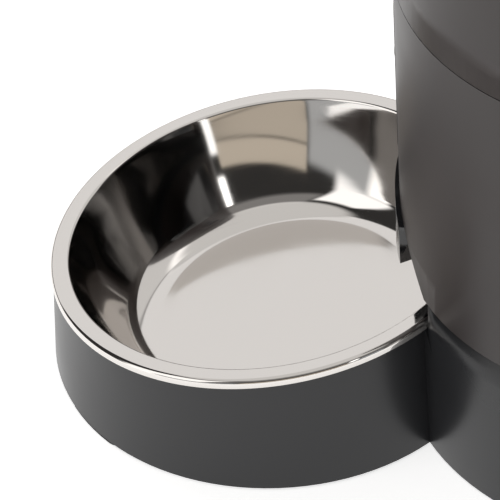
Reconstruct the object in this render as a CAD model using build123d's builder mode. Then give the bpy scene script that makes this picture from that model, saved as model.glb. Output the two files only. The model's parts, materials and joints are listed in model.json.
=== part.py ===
"""Automatic pet feeder: a steel bowl in a round holder, joined to a cylindrical food tower.

Frame: millimetres, +Z up, +Y from the bowl to the tower, origin under the middle of the whole feeder.
Heights are measured from the surface that the feet stand on.
"""
import os
from math import atan2, cos, degrees, hypot, pi, radians, sin, sqrt, tan

from build123d import *

os.makedirs("parts", exist_ok=True)

# ---------------------------------------------------------------- driving sizes
# Stance of the whole feeder
foot_h = 1.5  # rubber pads under the skirt
bowl_to_tower = 146.5  # between the two vertical axes
base_r = 95.6  # tower radius at its lower edge
tower_flare = 0.006  # radius gained per millimetre of height
base_top = 70.2  # top of the base moulding
tower_top = 189.4  # top of the fixed tower shell
tank_top = 292.0  # rim of the food tank
lid_h = 11.4  # lid above its parting line
reveal = 0.35  # dark line between stacked housings
wall = 2.6  # moulded outer walls
deck_t = 3.0  # base deck under the tower
slip = 0.4  # clearance of parts that lie in a recess
apart = 0.3  # clearance between bodies that move
run_fit = 0.06  # radial clearance of a shaft in its bore

# Bowl and its holder
rim_tilt = 7.19  # degrees, low side away from the tower
rim_z = 54.4  # middle of the rim plane
rim_shift = 0.1  # rim centre towards the tower
rim_r = 85.05
mouth_r = 77.9
bowl_depth = 41.0
bowl_floor_r = 58.0
steel = 0.8
rim_drop = 3.6  # turned-down edge of the rim
rim_bend = 2.0
floor_bend = 15.0
disc_r = 28.6  # middle of the floor's gentle dish
bowl_dish = 1.4  # rise of the floor from its middle to the wall
dish_bend = 600.0
bowl_belly = 2.0  # the wall stands this far outside a straight cone at half depth
belly_bend = 130.0
holder_gap = 2.15  # rim edge to the holder's wall, at the rim's height
holder_draft = 0.0545  # radius lost per millimetre of height
holder_wall = 2.5
rim_room = 0.75  # base moulding round the rim edge
gutter_drop = 0.8  # free depth under the rim edge
gutter_wall = 2.0

# Arch and alcove in the tower's front
arch_r = 68.0
arch_z = 25.5  # height of the arch's centre
alcove_room = 3.0  # behind the rim
alcove_wall = 2.2

# Food chute
chute_half = 30.6
chute_wall = 2.0
chute_lip_z = 66.2  # middle of the lip
chute_proud = 1.8  # lip in front of the tower's skin
chute_rise = 29.0  # degrees, lower edge of the side walls
chute_mouth = 34.0  # length of the outlet along Y
chute_back = 25.0  # back wall, in front of the tower's axis
chute_hood_z = 100.0
chute_flange = 7.4
chute_flange_t = 2.3

# Metering chamber and rotor
chamber_z = 124.0  # top of the inner deck
inner_deck_t = 2.5
chamber_r = 50.8
chamber_wall = 3.2
chamber_floor = 2.5
chamber_h = 28.0
chamber_lug_r = 60.0
lug_r = 5.0
cover_disc_t = 2.5
rotor_hub_r = 13.0
rotor_boss_r = 10.0
rotor_boss_h = 7.5
rotor_gap_low = 0.6
rotor_gap_top = 1.5
vane_count = 6
vane_t = 3.0
vane_r = 46.0
tip_gap = 0.5
tip_t = 1.8
inlet_r = 46.0
inlet_half = 105.0  # degrees each side of the rear
outlet_half = 26.0
outlet_r = 47.0
outlet_inner = 27.0
agitator_hub_h = 6.0
agitator_reach = 38.0
agitator_rise = 8.0
agitator_rod_r = 2.4

# Drive
shaft_r = 4.0
shaft_flat = 0.7
bush_r = 7.0
module = 1.0
gear_teeth = 38
pinion_teeth = 14
gear_w = 7.0
pressure_angle = 20.0
backlash = 0.22
gear_drop = 3.5  # gear face under the inner deck
box_wall = 2.0
box_room = 1.5
box_floor = 2.0
motor_r = 14.0
motor_len = 28.0
motor_boss_r = 5.6
motor_shaft_r = 1.5

# Food tank
skirt_r = 92.6
skirt_t = 2.2
skirt_h = 7.7
shelf_in = 89.5
shelf_t = 2.5
throat_r = 48.5
funnel_t = 2.2
throat_gap = 2.8  # throat above the chamber cover
tank_wall = 2.5
collar_r = 92.2  # thicker collar under the lid
collar_h = 22.0
groove_low = 5.0  # bolt groove below the tank's rim
groove_h = 6.0
groove_r = 95.2

# Lid
lid_wall = 3.0
lid_edge = 4.0
knob_well_r = 31.0
knob_well = 6.5
knob_disc_t = 2.5
knob_bar = (50.0, 11.0, 4.6)
stem_r = 8.0
liner_gap = 2.9  # liner disc inside the collar
liner_edge_h = 5.0
liner_disc_t = 3.0
liner_wall = 2.5
seal_w = 2.4
seal_inset = 1.4
lock_turn = 60.0  # degrees
lock_travel = 3.2
lock_pin_at = 13.4
lock_pin_r = 2.0
cam_r = 21.0
cam_t = 3.4
bolt_w = 10.0
bolt_t = 4.0
bolt_inner = 11.0

# Dry-pack cup under the liner
cup_r = 33.2
cup_h = 18.0
cup_wall = 1.6
cup_lug = 2.4
cup_lug_t = 2.2
cup_lug_angle = 34.0
cup_ring_t = 2.0
ledge_angle = 80.0

# Control panel
panel_half = 14.0
panel_low = 109.0
panel_high = 173.0
panel_t = 2.4
panel_proud = 0.2
lens_z = 160.0
lens_size = (18.0, 11.0)
feed_button_z = 146.0
small_button_z = (134.0, 123.0)
feed_button_r = 5.5
small_button_r = 4.0
button_proud = 0.8
button_travel = 1.0
button_flange = 1.0
board_t = 1.6
board_back = 7.4  # panel's inner face to the board
switch_t = 3.1

# Battery bay
cell_r = 16.6
cell_len = 60.0
cell_pitch = 34.6
cell_count = 3
cell_clear = 0.9
contact_len = 4.0
tray_wall = 1.8
tray_y = 6.0  # from the tower's axis
hatch_margin = 3.0
hatch_screw_margin = 11.0
hatch_t = 1.1

# Bottom cover and fasteners
cover_z = 1.9
cover_t = 2.4
screw_r = 1.5
screw_head_r = 2.8
screw_head_t = 1.2
boss_r = 4.5
pad_w = 12.0
pad_angle = 16.0

# Power inlet
jack_z = 18.0
jack_r = 4.9
jack_bore_r = 2.85
jack_pin_r = 1.0
jack_depth = 9.5
jack_body = (14.0, 10.0, 12.0)

# ---------------------------------------------------------------- worked-out sizes


def tower_r(z):
    """Outer radius of the tower at a height."""
    return base_r + tower_flare * (z - foot_h)


lid_low = tank_top + 0.6
lid_top = lid_low + lid_h
holder_reach = rim_r - steel - holder_gap + holder_draft * (rim_z - foot_h)
bowl_y = -(bowl_to_tower + tower_r(lid_low) - holder_reach) / 2
tower_y = bowl_y + bowl_to_tower
tower_low = base_top + reveal
tank_low = tower_top + reveal

holder_r = rim_r - steel - holder_gap + holder_draft * (rim_z - foot_h)


def holder_wall_r(z):
    """Outer radius of the bowl holder at a height."""
    return holder_r - holder_draft * (z - foot_h)


rim_room_r = rim_r + rim_room
alcove_r = rim_r + alcove_room
tilt_cos = cos(radians(rim_tilt))
tilt_sin = sin(radians(rim_tilt))
rim_axis = Vector(0, -tilt_sin, tilt_cos)
rim_centre = Vector(0, bowl_y + rim_shift, rim_z)


def rim_plane(depth):
    """Plane parallel to the rim, at a depth below it."""
    return Plane(origin=rim_centre - rim_axis * depth, x_dir=(1, 0, 0), z_dir=rim_axis)


def bowl_at(z):
    """Level plane on the bowl holder's axis."""
    return Plane(origin=(0, bowl_y, z))


def tower_at(z):
    """Level plane on the tower's axis."""
    return Plane(origin=(0, tower_y, z))


def front_at(y):
    """Upright plane across the feeder, facing the bowl, at a distance from the tower's axis."""
    return Plane(origin=(0, tower_y + y, 0), x_dir=(1, 0, 0), z_dir=(0, -1, 0))


def ring_spots(radius, angles):
    """Points on a circle, one for each angle in degrees."""
    return [(radius * cos(radians(a)), radius * sin(radians(a))) for a in angles]


tower_section = front_at(0)
tower_axis = Axis((0, tower_y, 0), (0, 0, 1))
bowl_section = Plane(origin=(0, bowl_y, 0), x_dir=(1, 0, 0), z_dir=(0, -1, 0))
bowl_axis = Axis((0, bowl_y, 0), (0, 0, 1))
rim_section = Plane(origin=rim_centre, x_dir=(1, 0, 0), z_dir=(0, -tilt_cos, -tilt_sin))
side_plane = Plane(origin=(0, tower_y, 0), x_dir=(0, 1, 0), z_dir=(1, 0, 0))


def corner(sketch, x, y):
    """Corner of a sketch nearest to a point."""
    return sketch.vertices().sort_by_distance(Vector(x, y))[0]


# Cover screws: three in the holder, four in the tower's base
holder_boss_r = holder_wall_r(foot_h) - holder_wall - boss_r + 0.6
base_boss_r = base_r - wall - boss_r + 0.6
holder_screws = [(x, y + bowl_y) for x, y in ring_spots(holder_boss_r, (-15, -90, -165))]
base_screws = [(x, y + tower_y) for x, y in ring_spots(base_boss_r, (12, 75, 105, 168))]
holder_boss_top = 16.0
cover_top = cover_z + cover_t
cover_r_bowl = holder_wall_r(foot_h) - holder_wall
cover_r_tower = base_r - wall

rib_r = tower_r(base_top) - wall - slip
rib_t = 2.4
rib_h = 3.5
tower_screw_boss_r = 5.6
tower_screw_r = tower_r(base_top) - wall - tower_screw_boss_r + 0.4
tower_screw_angles = (35, 145, -20, -160)

# ---------------------------------------------------------------- base

with BuildPart() as rim_space:  # free space over the bowl, inside the rim's clearance circle
    with BuildSketch(bowl_at(0)):
        Circle(rim_room_r)
    extrude(amount=base_top + bowl_depth)
    split(bisect_by=rim_plane(rim_drop + gutter_drop), keep=Keep.TOP)

with BuildPart() as gutter:  # ledge and riser that close the base behind the rim's edge
    with BuildSketch(bowl_at(rim_z - bowl_depth / 2)):
        Circle(rim_room_r + gutter_wall)
    extrude(amount=base_top - rim_z + bowl_depth / 2)
    split(bisect_by=rim_plane(rim_drop + gutter_drop + gutter_wall), keep=Keep.TOP)
    with BuildSketch(tower_at(0)):
        Circle(base_r - wall / 2)
    extrude(amount=base_top + bowl_depth, mode=Mode.INTERSECT)

with BuildPart() as holder_cone:  # outside of the bowl holder, up to the seat of the rim
    with BuildSketch(bowl_section):
        Polygon(
            (0, foot_h),
            (holder_r, foot_h),
            (holder_wall_r(base_top + foot_h), base_top + foot_h),
            (0, base_top + foot_h),
            align=None,
        )
    revolve(axis=bowl_axis)
    split(bisect_by=rim_plane(steel + apart), keep=Keep.BOTTOM)

with BuildPart() as base_housing:
    with BuildSketch(tower_section):
        Polygon(
            (base_r - wall, foot_h),
            (base_r, foot_h),
            (tower_r(base_top), base_top),
            (0, base_top),
            (0, base_top - deck_t),
            (tower_r(base_top) - wall, base_top - deck_t),
            align=None,
        )
    revolve(axis=tower_axis)
    with BuildSketch(tower_at(base_top)):
        Circle(rib_r)
        Circle(rib_r - rib_t, mode=Mode.SUBTRACT)
    extrude(amount=rib_h)
    with BuildSketch(bowl_at(base_top)):
        Circle(alcove_r + alcove_wall + slip)
    extrude(amount=rib_h, mode=Mode.SUBTRACT)
    add(gutter.part)
    add(rim_space.part, mode=Mode.SUBTRACT)
    add(holder_cone.part)
    with BuildSketch(bowl_section):
        Polygon(
            (0, 0),
            (holder_wall_r(0) - holder_wall, 0),
            (holder_wall_r(2 * base_top) - holder_wall, 2 * base_top),
            (0, 2 * base_top),
            align=None,
        )
    revolve(axis=bowl_axis, mode=Mode.SUBTRACT)
    # room for the bottom cover
    with BuildSketch(Plane.XY):
        with Locations((0, bowl_y)):
            Circle(cover_r_bowl)
        with Locations((0, tower_y)):
            Circle(cover_r_tower)
    extrude(amount=cover_top, mode=Mode.SUBTRACT)
    # screw bosses
    with BuildSketch(Plane.XY.offset(cover_top)):
        with Locations(*holder_screws):
            Circle(boss_r)
    extrude(amount=holder_boss_top - cover_top)
    with BuildSketch(Plane.XY.offset(cover_top)):
        with Locations(*base_screws):
            Circle(boss_r)
    extrude(amount=base_top - deck_t - cover_top)
    with BuildSketch(Plane.XY.offset(cover_top)):
        with Locations(*holder_screws, *base_screws):
            Circle(screw_r)
    extrude(amount=holder_boss_top - cover_top - 2, mode=Mode.SUBTRACT)
    # holes for the tower screws, the wires and the power inlet
    with BuildSketch(tower_at(base_top - deck_t)):
        with Locations(*ring_spots(tower_screw_r, tower_screw_angles)):
            Circle(screw_r + 0.2)
        with Locations((-0.5 * base_r, 0.3 * base_r)):
            Circle(2 * deck_t)
    extrude(amount=deck_t, mode=Mode.SUBTRACT)
    with BuildSketch(front_at(base_r + wall)):
        with Locations((0, jack_z)):
            Circle(jack_r + slip)
    extrude(amount=3 * wall, mode=Mode.SUBTRACT)
base_housing.part.label = "base_housing"
export_step(base_housing.part, "parts/base_housing.step")

# ---------------------------------------------------------------- underside

tray_in = (cell_len + 2 * contact_len, cell_count * cell_pitch + 1.2)
tray_out = (tray_in[0] + 2 * tray_wall, tray_in[1] + 2 * tray_wall)
tray_top = cover_top + 2 * cell_r + 2 * cell_clear + tray_wall
hatch_w = tray_in[0] + 2 * hatch_margin
hatch_len = tray_in[1] + hatch_margin + hatch_screw_margin
hatch_y = tray_y + (hatch_screw_margin - hatch_margin) / 2
hatch_screw_y = tray_y + tray_out[1] / 2 + 4.3

with BuildPart() as bottom_cover:
    with BuildSketch(Plane.XY.offset(cover_z)):
        with Locations((0, bowl_y)):
            Circle(cover_r_bowl - slip)
        with Locations((0, tower_y)):
            Circle(cover_r_tower - slip)
        with Locations((0, tower_y + tray_y)):
            Rectangle(*tray_in, mode=Mode.SUBTRACT)
    extrude(amount=cover_t)
    with BuildSketch(tower_at(cover_z)):
        with Locations((0, hatch_y)):
            RectangleRounded(hatch_w, hatch_len, 3)
    extrude(amount=hatch_t + 0.1, mode=Mode.SUBTRACT)
    with BuildSketch(tower_at(cover_top)):
        with Locations((0, hatch_screw_y)):
            Circle(2.2 * screw_r)
    extrude(amount=3 * cover_t)
    with BuildSketch(tower_at(cover_z)):
        with Locations((0, hatch_screw_y)):
            Circle(screw_r)
    extrude(amount=3 * cover_t, mode=Mode.SUBTRACT)
    with BuildSketch(Plane.XY.offset(cover_z)):
        with Locations(*holder_screws, *base_screws):
            Circle(screw_r + 0.2)
    extrude(amount=cover_t, mode=Mode.SUBTRACT)
    with BuildSketch(Plane.XY.offset(cover_z)):
        with Locations(*holder_screws, *base_screws):
            Circle(screw_head_r + slip)
    extrude(amount=screw_head_t, mode=Mode.SUBTRACT)
bottom_cover.part.label = "bottom_cover"
export_step(bottom_cover.part, "parts/bottom_cover.step")


def pad_arc(outer, middle):
    """Centre line of a foot pad: an arc that keeps its outer edge at a radius."""
    return Edge.make_circle(
        outer - pad_w / 2, start_angle=middle - pad_angle / 2, end_angle=middle + pad_angle / 2
    )


with BuildPart() as rubber_feet:
    for middle in (-46, -134):
        with BuildSketch(bowl_at(0)):
            SlotArc(pad_arc(holder_r - slip, middle), pad_w)
        extrude(amount=foot_h)
        with BuildSketch(bowl_at(foot_h)):
            SlotArc(pad_arc(cover_r_bowl - 2 * slip, middle), pad_w - 1)
        extrude(amount=cover_z - foot_h)
    for middle in (42, 138):
        with BuildSketch(tower_at(0)):
            SlotArc(pad_arc(base_r - slip, middle), pad_w)
        extrude(amount=foot_h)
        with BuildSketch(tower_at(foot_h)):
            SlotArc(pad_arc(cover_r_tower - 2 * slip, middle), pad_w - 1)
        extrude(amount=cover_z - foot_h)
rubber_feet.part.label = "rubber_feet"
export_step(rubber_feet.part, "parts/rubber_feet.step")

with BuildPart() as cover_screws:
    with BuildSketch(Plane.XY.offset(cover_z + 0.1)):
        with Locations(*holder_screws, *base_screws):
            Circle(screw_head_r)
    extrude(amount=screw_head_t - 0.1)
    with BuildSketch(Plane.XY.offset(cover_z + screw_head_t)):
        with Locations(*holder_screws, *base_screws):
            Circle(screw_r - 0.1)
    extrude(amount=holder_boss_top - cover_top - 4)
    with BuildSketch(Plane.XY.offset(cover_z + 0.1)):
        with Locations(*holder_screws, *base_screws):
            Rectangle(2.8, 0.7)
            Rectangle(0.7, 2.8)
    extrude(amount=0.6, mode=Mode.SUBTRACT)
cover_screws.part.label = "cover_screws"
export_step(cover_screws.part, "parts/cover_screws.step")

with BuildPart() as battery_tray:
    with BuildSketch(tower_at(cover_top)):
        with Locations((0, tray_y)):
            RectangleRounded(*tray_out, 3)
    extrude(amount=tray_top - cover_top)
    with BuildSketch(tower_at(cover_top)):
        with Locations((0, tray_y)):
            Rectangle(*tray_in)
    extrude(amount=tray_top - cover_top - tray_wall, mode=Mode.SUBTRACT)
    with BuildSketch(tower_at(tray_top - tray_wall - cell_r / 2)):
        for side in (-0.5, 0.5):
            with Locations((0, tray_y + side * cell_pitch)):
                Rectangle(cell_len, 1.0)
    extrude(amount=cell_r / 2)
battery_tray.part.label = "battery_tray"
export_step(battery_tray.part, "parts/battery_tray.step")

with BuildPart() as battery_cover:
    with BuildSketch(tower_at(cover_z)):
        with Locations((0, hatch_y)):
            RectangleRounded(hatch_w - 2 * slip, hatch_len - 2 * slip, 3)
        with Locations((0, hatch_screw_y)):
            Circle(screw_r + 0.2, mode=Mode.SUBTRACT)
    extrude(amount=hatch_t)
    with BuildSketch(tower_at(cover_z)):
        with GridLocations(0, 3.0, 1, 4):
            Rectangle(0.4 * tray_in[0], 1.0)
    extrude(amount=0.4, mode=Mode.SUBTRACT)
battery_cover.part.label = "battery_cover"
export_step(battery_cover.part, "parts/battery_cover.step")

with BuildPart() as battery_screw:
    with BuildSketch(tower_at(cover_z - screw_head_t)):
        with Locations((0, hatch_screw_y)):
            Circle(screw_head_r)
    extrude(amount=screw_head_t)
    with BuildSketch(tower_at(cover_z)):
        with Locations((0, hatch_screw_y)):
            Circle(screw_r - 0.1)
    extrude(amount=2.5 * cover_t)
    with BuildSketch(tower_at(cover_z - screw_head_t)):
        with Locations((0, hatch_screw_y)):
            Rectangle(2.8, 0.7)
            Rectangle(0.7, 2.8)
    extrude(amount=0.6, mode=Mode.SUBTRACT)
battery_screw.part.label = "battery_screw"
export_step(battery_screw.part, "parts/battery_screw.step")

cell_z = cover_top + cell_clear + cell_r
cell_rows = [tray_y + (i - (cell_count - 1) / 2) * cell_pitch for i in range(cell_count)]


def across(x):
    """Upright plane square to X, on the tower's axis; its own x runs along +Y."""
    return Plane(origin=(x, tower_y, 0), x_dir=(0, 1, 0), z_dir=(1, 0, 0))


with BuildPart() as batteries:
    for i, row in enumerate(cell_rows):
        way = 1 if i % 2 == 0 else -1
        with BuildSketch(across(-cell_len / 2)):
            with Locations((row, cell_z)):
                Circle(cell_r)
        extrude(amount=cell_len)
        with BuildSketch(across(way * cell_len / 2)):
            with Locations((row, cell_z)):
                Circle(0.3 * cell_r)
        extrude(amount=way * 1.5)
batteries.part.label = "batteries"
export_step(batteries.part, "parts/batteries.step")

contact_x = tray_in[0] / 2 - 0.1
with BuildPart() as battery_contacts:
    for i, row in enumerate(cell_rows):
        way = 1 if i % 2 == 0 else -1
        for side in (-1, 1):
            with BuildSketch(across(side * contact_x)):
                with Locations((row, cell_z)):
                    RectangleRounded(cell_r, cell_r, 2)
            extrude(amount=-side * 0.6)
            spring_len = contact_len - 0.8 if side != way else contact_len - 2.3
            with BuildSketch(across(side * (contact_x - 0.6))):
                with Locations((row, cell_z)):
                    Circle(0.35 * cell_r)
            extrude(amount=-side * spring_len, taper=20)
battery_contacts.part.label = "battery_contacts"
export_step(battery_contacts.part, "parts/battery_contacts.step")

jack_front = tower_r(jack_z) - slip
with BuildPart() as power_jack:
    with BuildSketch(front_at(jack_front)):
        with Locations((0, jack_z)):
            Circle(jack_r)
    extrude(amount=wall + 2.0)
    with BuildSketch(front_at(jack_front - wall - 2.0)):
        with Locations((0, jack_z)):
            RectangleRounded(jack_body[0], jack_body[2], 1)
    extrude(amount=jack_body[1])
    with BuildSketch(front_at(jack_front)):
        with Locations((0, jack_z)):
            Circle(jack_bore_r)
    extrude(amount=jack_depth, mode=Mode.SUBTRACT)
    with BuildSketch(front_at(jack_front - 1.5)):
        with Locations((0, jack_z)):
            Circle(jack_pin_r)
    extrude(amount=jack_depth)
power_jack.part.label = "power_jack"
export_step(power_jack.part, "parts/power_jack.step")

# ---------------------------------------------------------------- steel bowl

lean = (mouth_r - bowl_floor_r) / bowl_depth
steel_out = steel * (hypot(1, lean) - lean)  # offset of the outside's corners for walls of one thickness
belly_r = (bowl_floor_r + mouth_r) / 2 + bowl_belly
low_wall = (bowl_depth / 2 - bowl_dish, belly_r - bowl_floor_r)
belly_turn = atan2(bowl_depth / 2, mouth_r - belly_r) - atan2(*low_wall)
belly_room = 0.6 * hypot(*low_wall) / tan(belly_turn / 2)  # leaves the floor's bend its share
wall_bend = min(belly_bend, belly_room)
with BuildPart() as bowl:
    with BuildSketch(rim_section) as bowl_profile:
        Polygon(
            (0, -bowl_depth),
            (disc_r, -bowl_depth),
            (bowl_floor_r, -bowl_depth + bowl_dish),
            (belly_r, -bowl_depth / 2),
            (mouth_r, 0),
            (rim_r, 0),
            (rim_r, -rim_drop),
            (rim_r - steel, -rim_drop),
            (rim_r - steel, -steel),
            (mouth_r + steel_out, -steel),
            (belly_r + steel_out, -bowl_depth / 2),
            (bowl_floor_r + steel_out, -bowl_depth + bowl_dish - steel),
            (disc_r, -bowl_depth - steel),
            (0, -bowl_depth - steel),
            align=None,
        )
        fillet(corner(bowl_profile, bowl_floor_r, -bowl_depth + bowl_dish), floor_bend)
        fillet(
            corner(bowl_profile, bowl_floor_r + steel_out, -bowl_depth + bowl_dish - steel),
            floor_bend + steel,
        )
        fillet(corner(bowl_profile, disc_r, -bowl_depth), dish_bend)
        fillet(corner(bowl_profile, disc_r, -bowl_depth - steel), dish_bend)
        fillet(corner(bowl_profile, belly_r, -bowl_depth / 2), wall_bend)
        fillet(corner(bowl_profile, belly_r + steel_out, -bowl_depth / 2), wall_bend + steel)
        fillet(corner(bowl_profile, mouth_r, 0), 2 * steel)
        fillet(corner(bowl_profile, mouth_r + steel_out, -steel), steel)
        fillet(corner(bowl_profile, rim_r, 0), rim_bend)
        fillet(corner(bowl_profile, rim_r - steel, -steel), rim_bend - steel)
    revolve(axis=Axis(rim_centre, rim_axis))
bowl.part.label = "bowl"
export_step(bowl.part, "parts/bowl.step")

# ---------------------------------------------------------------- tower shell

chute_tan = tan(radians(chute_rise))
skin_r = tower_r(arch_z + arch_r) - 0.2
chute_r = skin_r + chute_proud
inner_r = tower_r(tower_low) - wall
mouth_end_y = -skin_r + chute_mouth
mouth_end_z = chute_lip_z + (chute_mouth + chute_proud) * chute_tan
ramp_top_z = chamber_z - inner_deck_t - 0.2


def chute_outline(grow):
    """Side outline of the chute's outside, from the lip round to the hood, grown by a clearance."""
    return [
        (-chute_r - grow, chute_lip_z - 1.2 * grow),
        (mouth_end_y, mouth_end_z - 1.2 * grow),
        (-chute_back + grow, ramp_top_z - 1.2 * grow),
        (-chute_back + grow, chamber_z),
        (-outlet_r - 2 * chute_wall - 3, chamber_z),
        (-skin_r + wall, chute_hood_z + grow),
        (-chute_r - grow, chute_hood_z + grow),
    ]


with BuildPart() as alcove_shell:  # vault over the bowl, behind the arch
    with BuildSketch(front_at(0)):
        with Locations((0, arch_z)):
            Circle(arch_r + alcove_wall)
    extrude(amount=base_r + wall)
    with BuildSketch(bowl_at(tower_low)):
        Circle(alcove_r + alcove_wall)
    extrude(amount=arch_r, mode=Mode.INTERSECT)
    with BuildSketch(tower_at(tower_low)):
        Circle(inner_r + 0.6)
    extrude(amount=arch_r, mode=Mode.INTERSECT)

with BuildPart() as alcove_space:
    with BuildSketch(front_at(0)):
        with Locations((0, arch_z)):
            Circle(arch_r)
    extrude(amount=base_r + 4 * wall)
    with BuildSketch(bowl_at(0)):
        Circle(alcove_r)
    extrude(amount=arch_z + arch_r, mode=Mode.INTERSECT)

with BuildPart() as chute_space:
    with BuildSketch(side_plane):
        Polygon(*chute_outline(slip), align=None)
    extrude(amount=chute_half + slip, both=True)
    with BuildSketch(tower_at(0)):
        Circle(inner_r)
    extrude(amount=chamber_z, mode=Mode.INTERSECT)

board_low = panel_low - 1.0
board_high = panel_high + 1.0
board_half = panel_half - 0.5
panel_in_r = tower_r(panel_low) - panel_t
board_front = panel_in_r - board_back

# screw places shared by the deck and what hangs from it
flange_y = -chute_back - 1.5 * chute_flange
sensor_z = 104.0
flange_spots = [(side * (chute_half + 0.5 * chute_flange + slip), flange_y) for side in (-1, 1)]
shaft_gap = module * (gear_teeth + pinion_teeth) / 2
box_r = module * (gear_teeth / 2 + 1) + box_room
box_tail_r = module * (pinion_teeth / 2 + 1) + box_room
ear_r = box_r + box_wall + lug_r - 1.0
ear_spots = ring_spots(ear_r, (0, 180)) + [(0, shaft_gap + box_tail_r + box_wall + lug_r - 1.0)]

with BuildPart() as tower_body:
    with BuildSketch(tower_section):
        Polygon(
            (tower_r(tower_low) - wall, tower_low),
            (tower_r(tower_low), tower_low),
            (tower_r(tower_top), tower_top),
            (tower_r(tower_top) - wall, tower_top),
            (tower_r(tower_top) - wall, tower_top - skirt_h + slip - apart),
            (shelf_in, tower_top - skirt_h + slip - apart),
            (shelf_in, tower_top - skirt_h + slip - apart - shelf_t),
            (inner_r, tower_top - skirt_h + slip - apart - 2 * shelf_t),
            (inner_r, chamber_z),
            (0, chamber_z),
            (0, chamber_z - inner_deck_t),
            (inner_r, chamber_z - inner_deck_t),
            align=None,
        )
    revolve(axis=tower_axis)
    add(alcove_shell.part)
    add(alcove_space.part, mode=Mode.SUBTRACT)
    # bosses: base screws below, chamber screws under the inner deck
    with BuildSketch(tower_at(base_top + rib_h + apart)):
        with Locations(*ring_spots(tower_screw_r, tower_screw_angles)):
            Circle(tower_screw_boss_r)
    extrude(amount=18.0)
    with BuildSketch(tower_at(chamber_z - inner_deck_t)):
        with Locations(*ring_spots(chamber_lug_r, (45, 135, 225, 315))):
            Circle(lug_r - 1)
    extrude(amount=-6.0)
    with BuildSketch(tower_at(base_top)):
        with Locations(*ring_spots(tower_screw_r, tower_screw_angles)):
            Circle(screw_r)
    extrude(amount=17.0, mode=Mode.SUBTRACT)
    with BuildSketch(tower_at(chamber_z)):
        with Locations(*ring_spots(chamber_lug_r, (45, 135, 225, 315))):
            Circle(screw_r)
    extrude(amount=-7.0, mode=Mode.SUBTRACT)
    add(chute_space.part, mode=Mode.SUBTRACT)
    # shaft hole and gearbox screw holes in the inner deck
    with BuildSketch(tower_at(chamber_z)):
        Circle(bush_r)
    extrude(amount=-inner_deck_t, mode=Mode.SUBTRACT)
    # window of the control panel and room for its board
    with BuildSketch(front_at(-board_front + board_t + 2 * slip)):
        with Locations((0, (panel_low + panel_high) / 2)):
            RectangleRounded(2 * panel_half + slip, panel_high - panel_low + slip, 3)
    extrude(amount=3 * board_back, mode=Mode.SUBTRACT)
    with BuildSketch(front_at(-board_front + board_t + 2 * slip)):
        with Locations((0, (board_low + board_high) / 2)):
            Rectangle(2 * board_half + 2 * slip, board_high - board_low + 2 * slip)
    extrude(amount=board_back - slip, mode=Mode.SUBTRACT)
    # screws of the gearbox and of the chute's flanges
    with BuildSketch(tower_at(chamber_z)):
        with Locations(*ear_spots, *flange_spots):
            Circle(screw_r)
    extrude(amount=-inner_deck_t, mode=Mode.SUBTRACT)
tower_body.part.label = "tower_body"
export_step(tower_body.part, "parts/tower_body.step")

with BuildPart() as tower_screws:
    with BuildSketch(tower_at(base_top - deck_t - screw_head_t)):
        with Locations(*ring_spots(tower_screw_r, tower_screw_angles)):
            Circle(screw_head_r)
    extrude(amount=screw_head_t)
    with BuildSketch(tower_at(base_top - deck_t)):
        with Locations(*ring_spots(tower_screw_r, tower_screw_angles)):
            Circle(screw_r - 0.1)
    extrude(amount=deck_t + rib_h + 9.0)
tower_screws.part.label = "tower_screws"
export_step(tower_screws.part, "parts/tower_screws.step")

# ---------------------------------------------------------------- food chute

with BuildPart() as front_relief:  # what the chute leaves free in front of the shell's inner face
    with BuildSketch(tower_at(0)):
        Circle(skin_r + wall)
        Circle(inner_r - slip, mode=Mode.SUBTRACT)
    extrude(amount=chamber_z)
    with BuildSketch(front_at(0)):
        with Locations((0, arch_z)):
            Circle(arch_r - slip)
    extrude(amount=base_r + 4 * wall, mode=Mode.SUBTRACT)

with BuildPart() as chute_duct:
    with BuildSketch(side_plane):
        Polygon(
            (-chute_r, chute_lip_z - 2 * chute_wall),
            (mouth_end_y, mouth_end_z - 2 * chute_wall),
            (mouth_end_y, mouth_end_z + 1.3 * chute_wall),
            (-chute_back - chute_wall, ramp_top_z + 0.4 * chute_wall),
            (-chute_back - chute_wall, chamber_z + chute_wall),
            (-outlet_r - chute_wall, chamber_z + chute_wall),
            (-outlet_r - chute_wall, chamber_z - chute_wall),
            (-chute_r, chute_hood_z - 2 * chute_wall),
            align=None,
        )
    extrude(amount=chute_half - chute_wall, both=True)
    with BuildSketch(tower_at(0)):
        Circle(inner_r - slip - chute_wall)
    extrude(amount=chamber_z + wall, mode=Mode.INTERSECT)

lip_space_y = -70.0
lip_space_top = 82.0
with BuildPart() as lip_space:  # thins the front wall where it stands in the arch
    with BuildSketch(side_plane):
        Polygon(
            (-chute_r, chute_lip_z - 2 * chute_wall),
            (lip_space_y, chute_lip_z - 2 * chute_wall + (chute_r + lip_space_y) * chute_tan),
            (lip_space_y, lip_space_top),
            (-chute_r, lip_space_top),
            align=None,
        )
    extrude(amount=chute_half - chute_wall, both=True)
    with BuildSketch(tower_at(0)):
        Circle(chute_r - chute_wall)
    extrude(amount=chamber_z, mode=Mode.INTERSECT)

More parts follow.
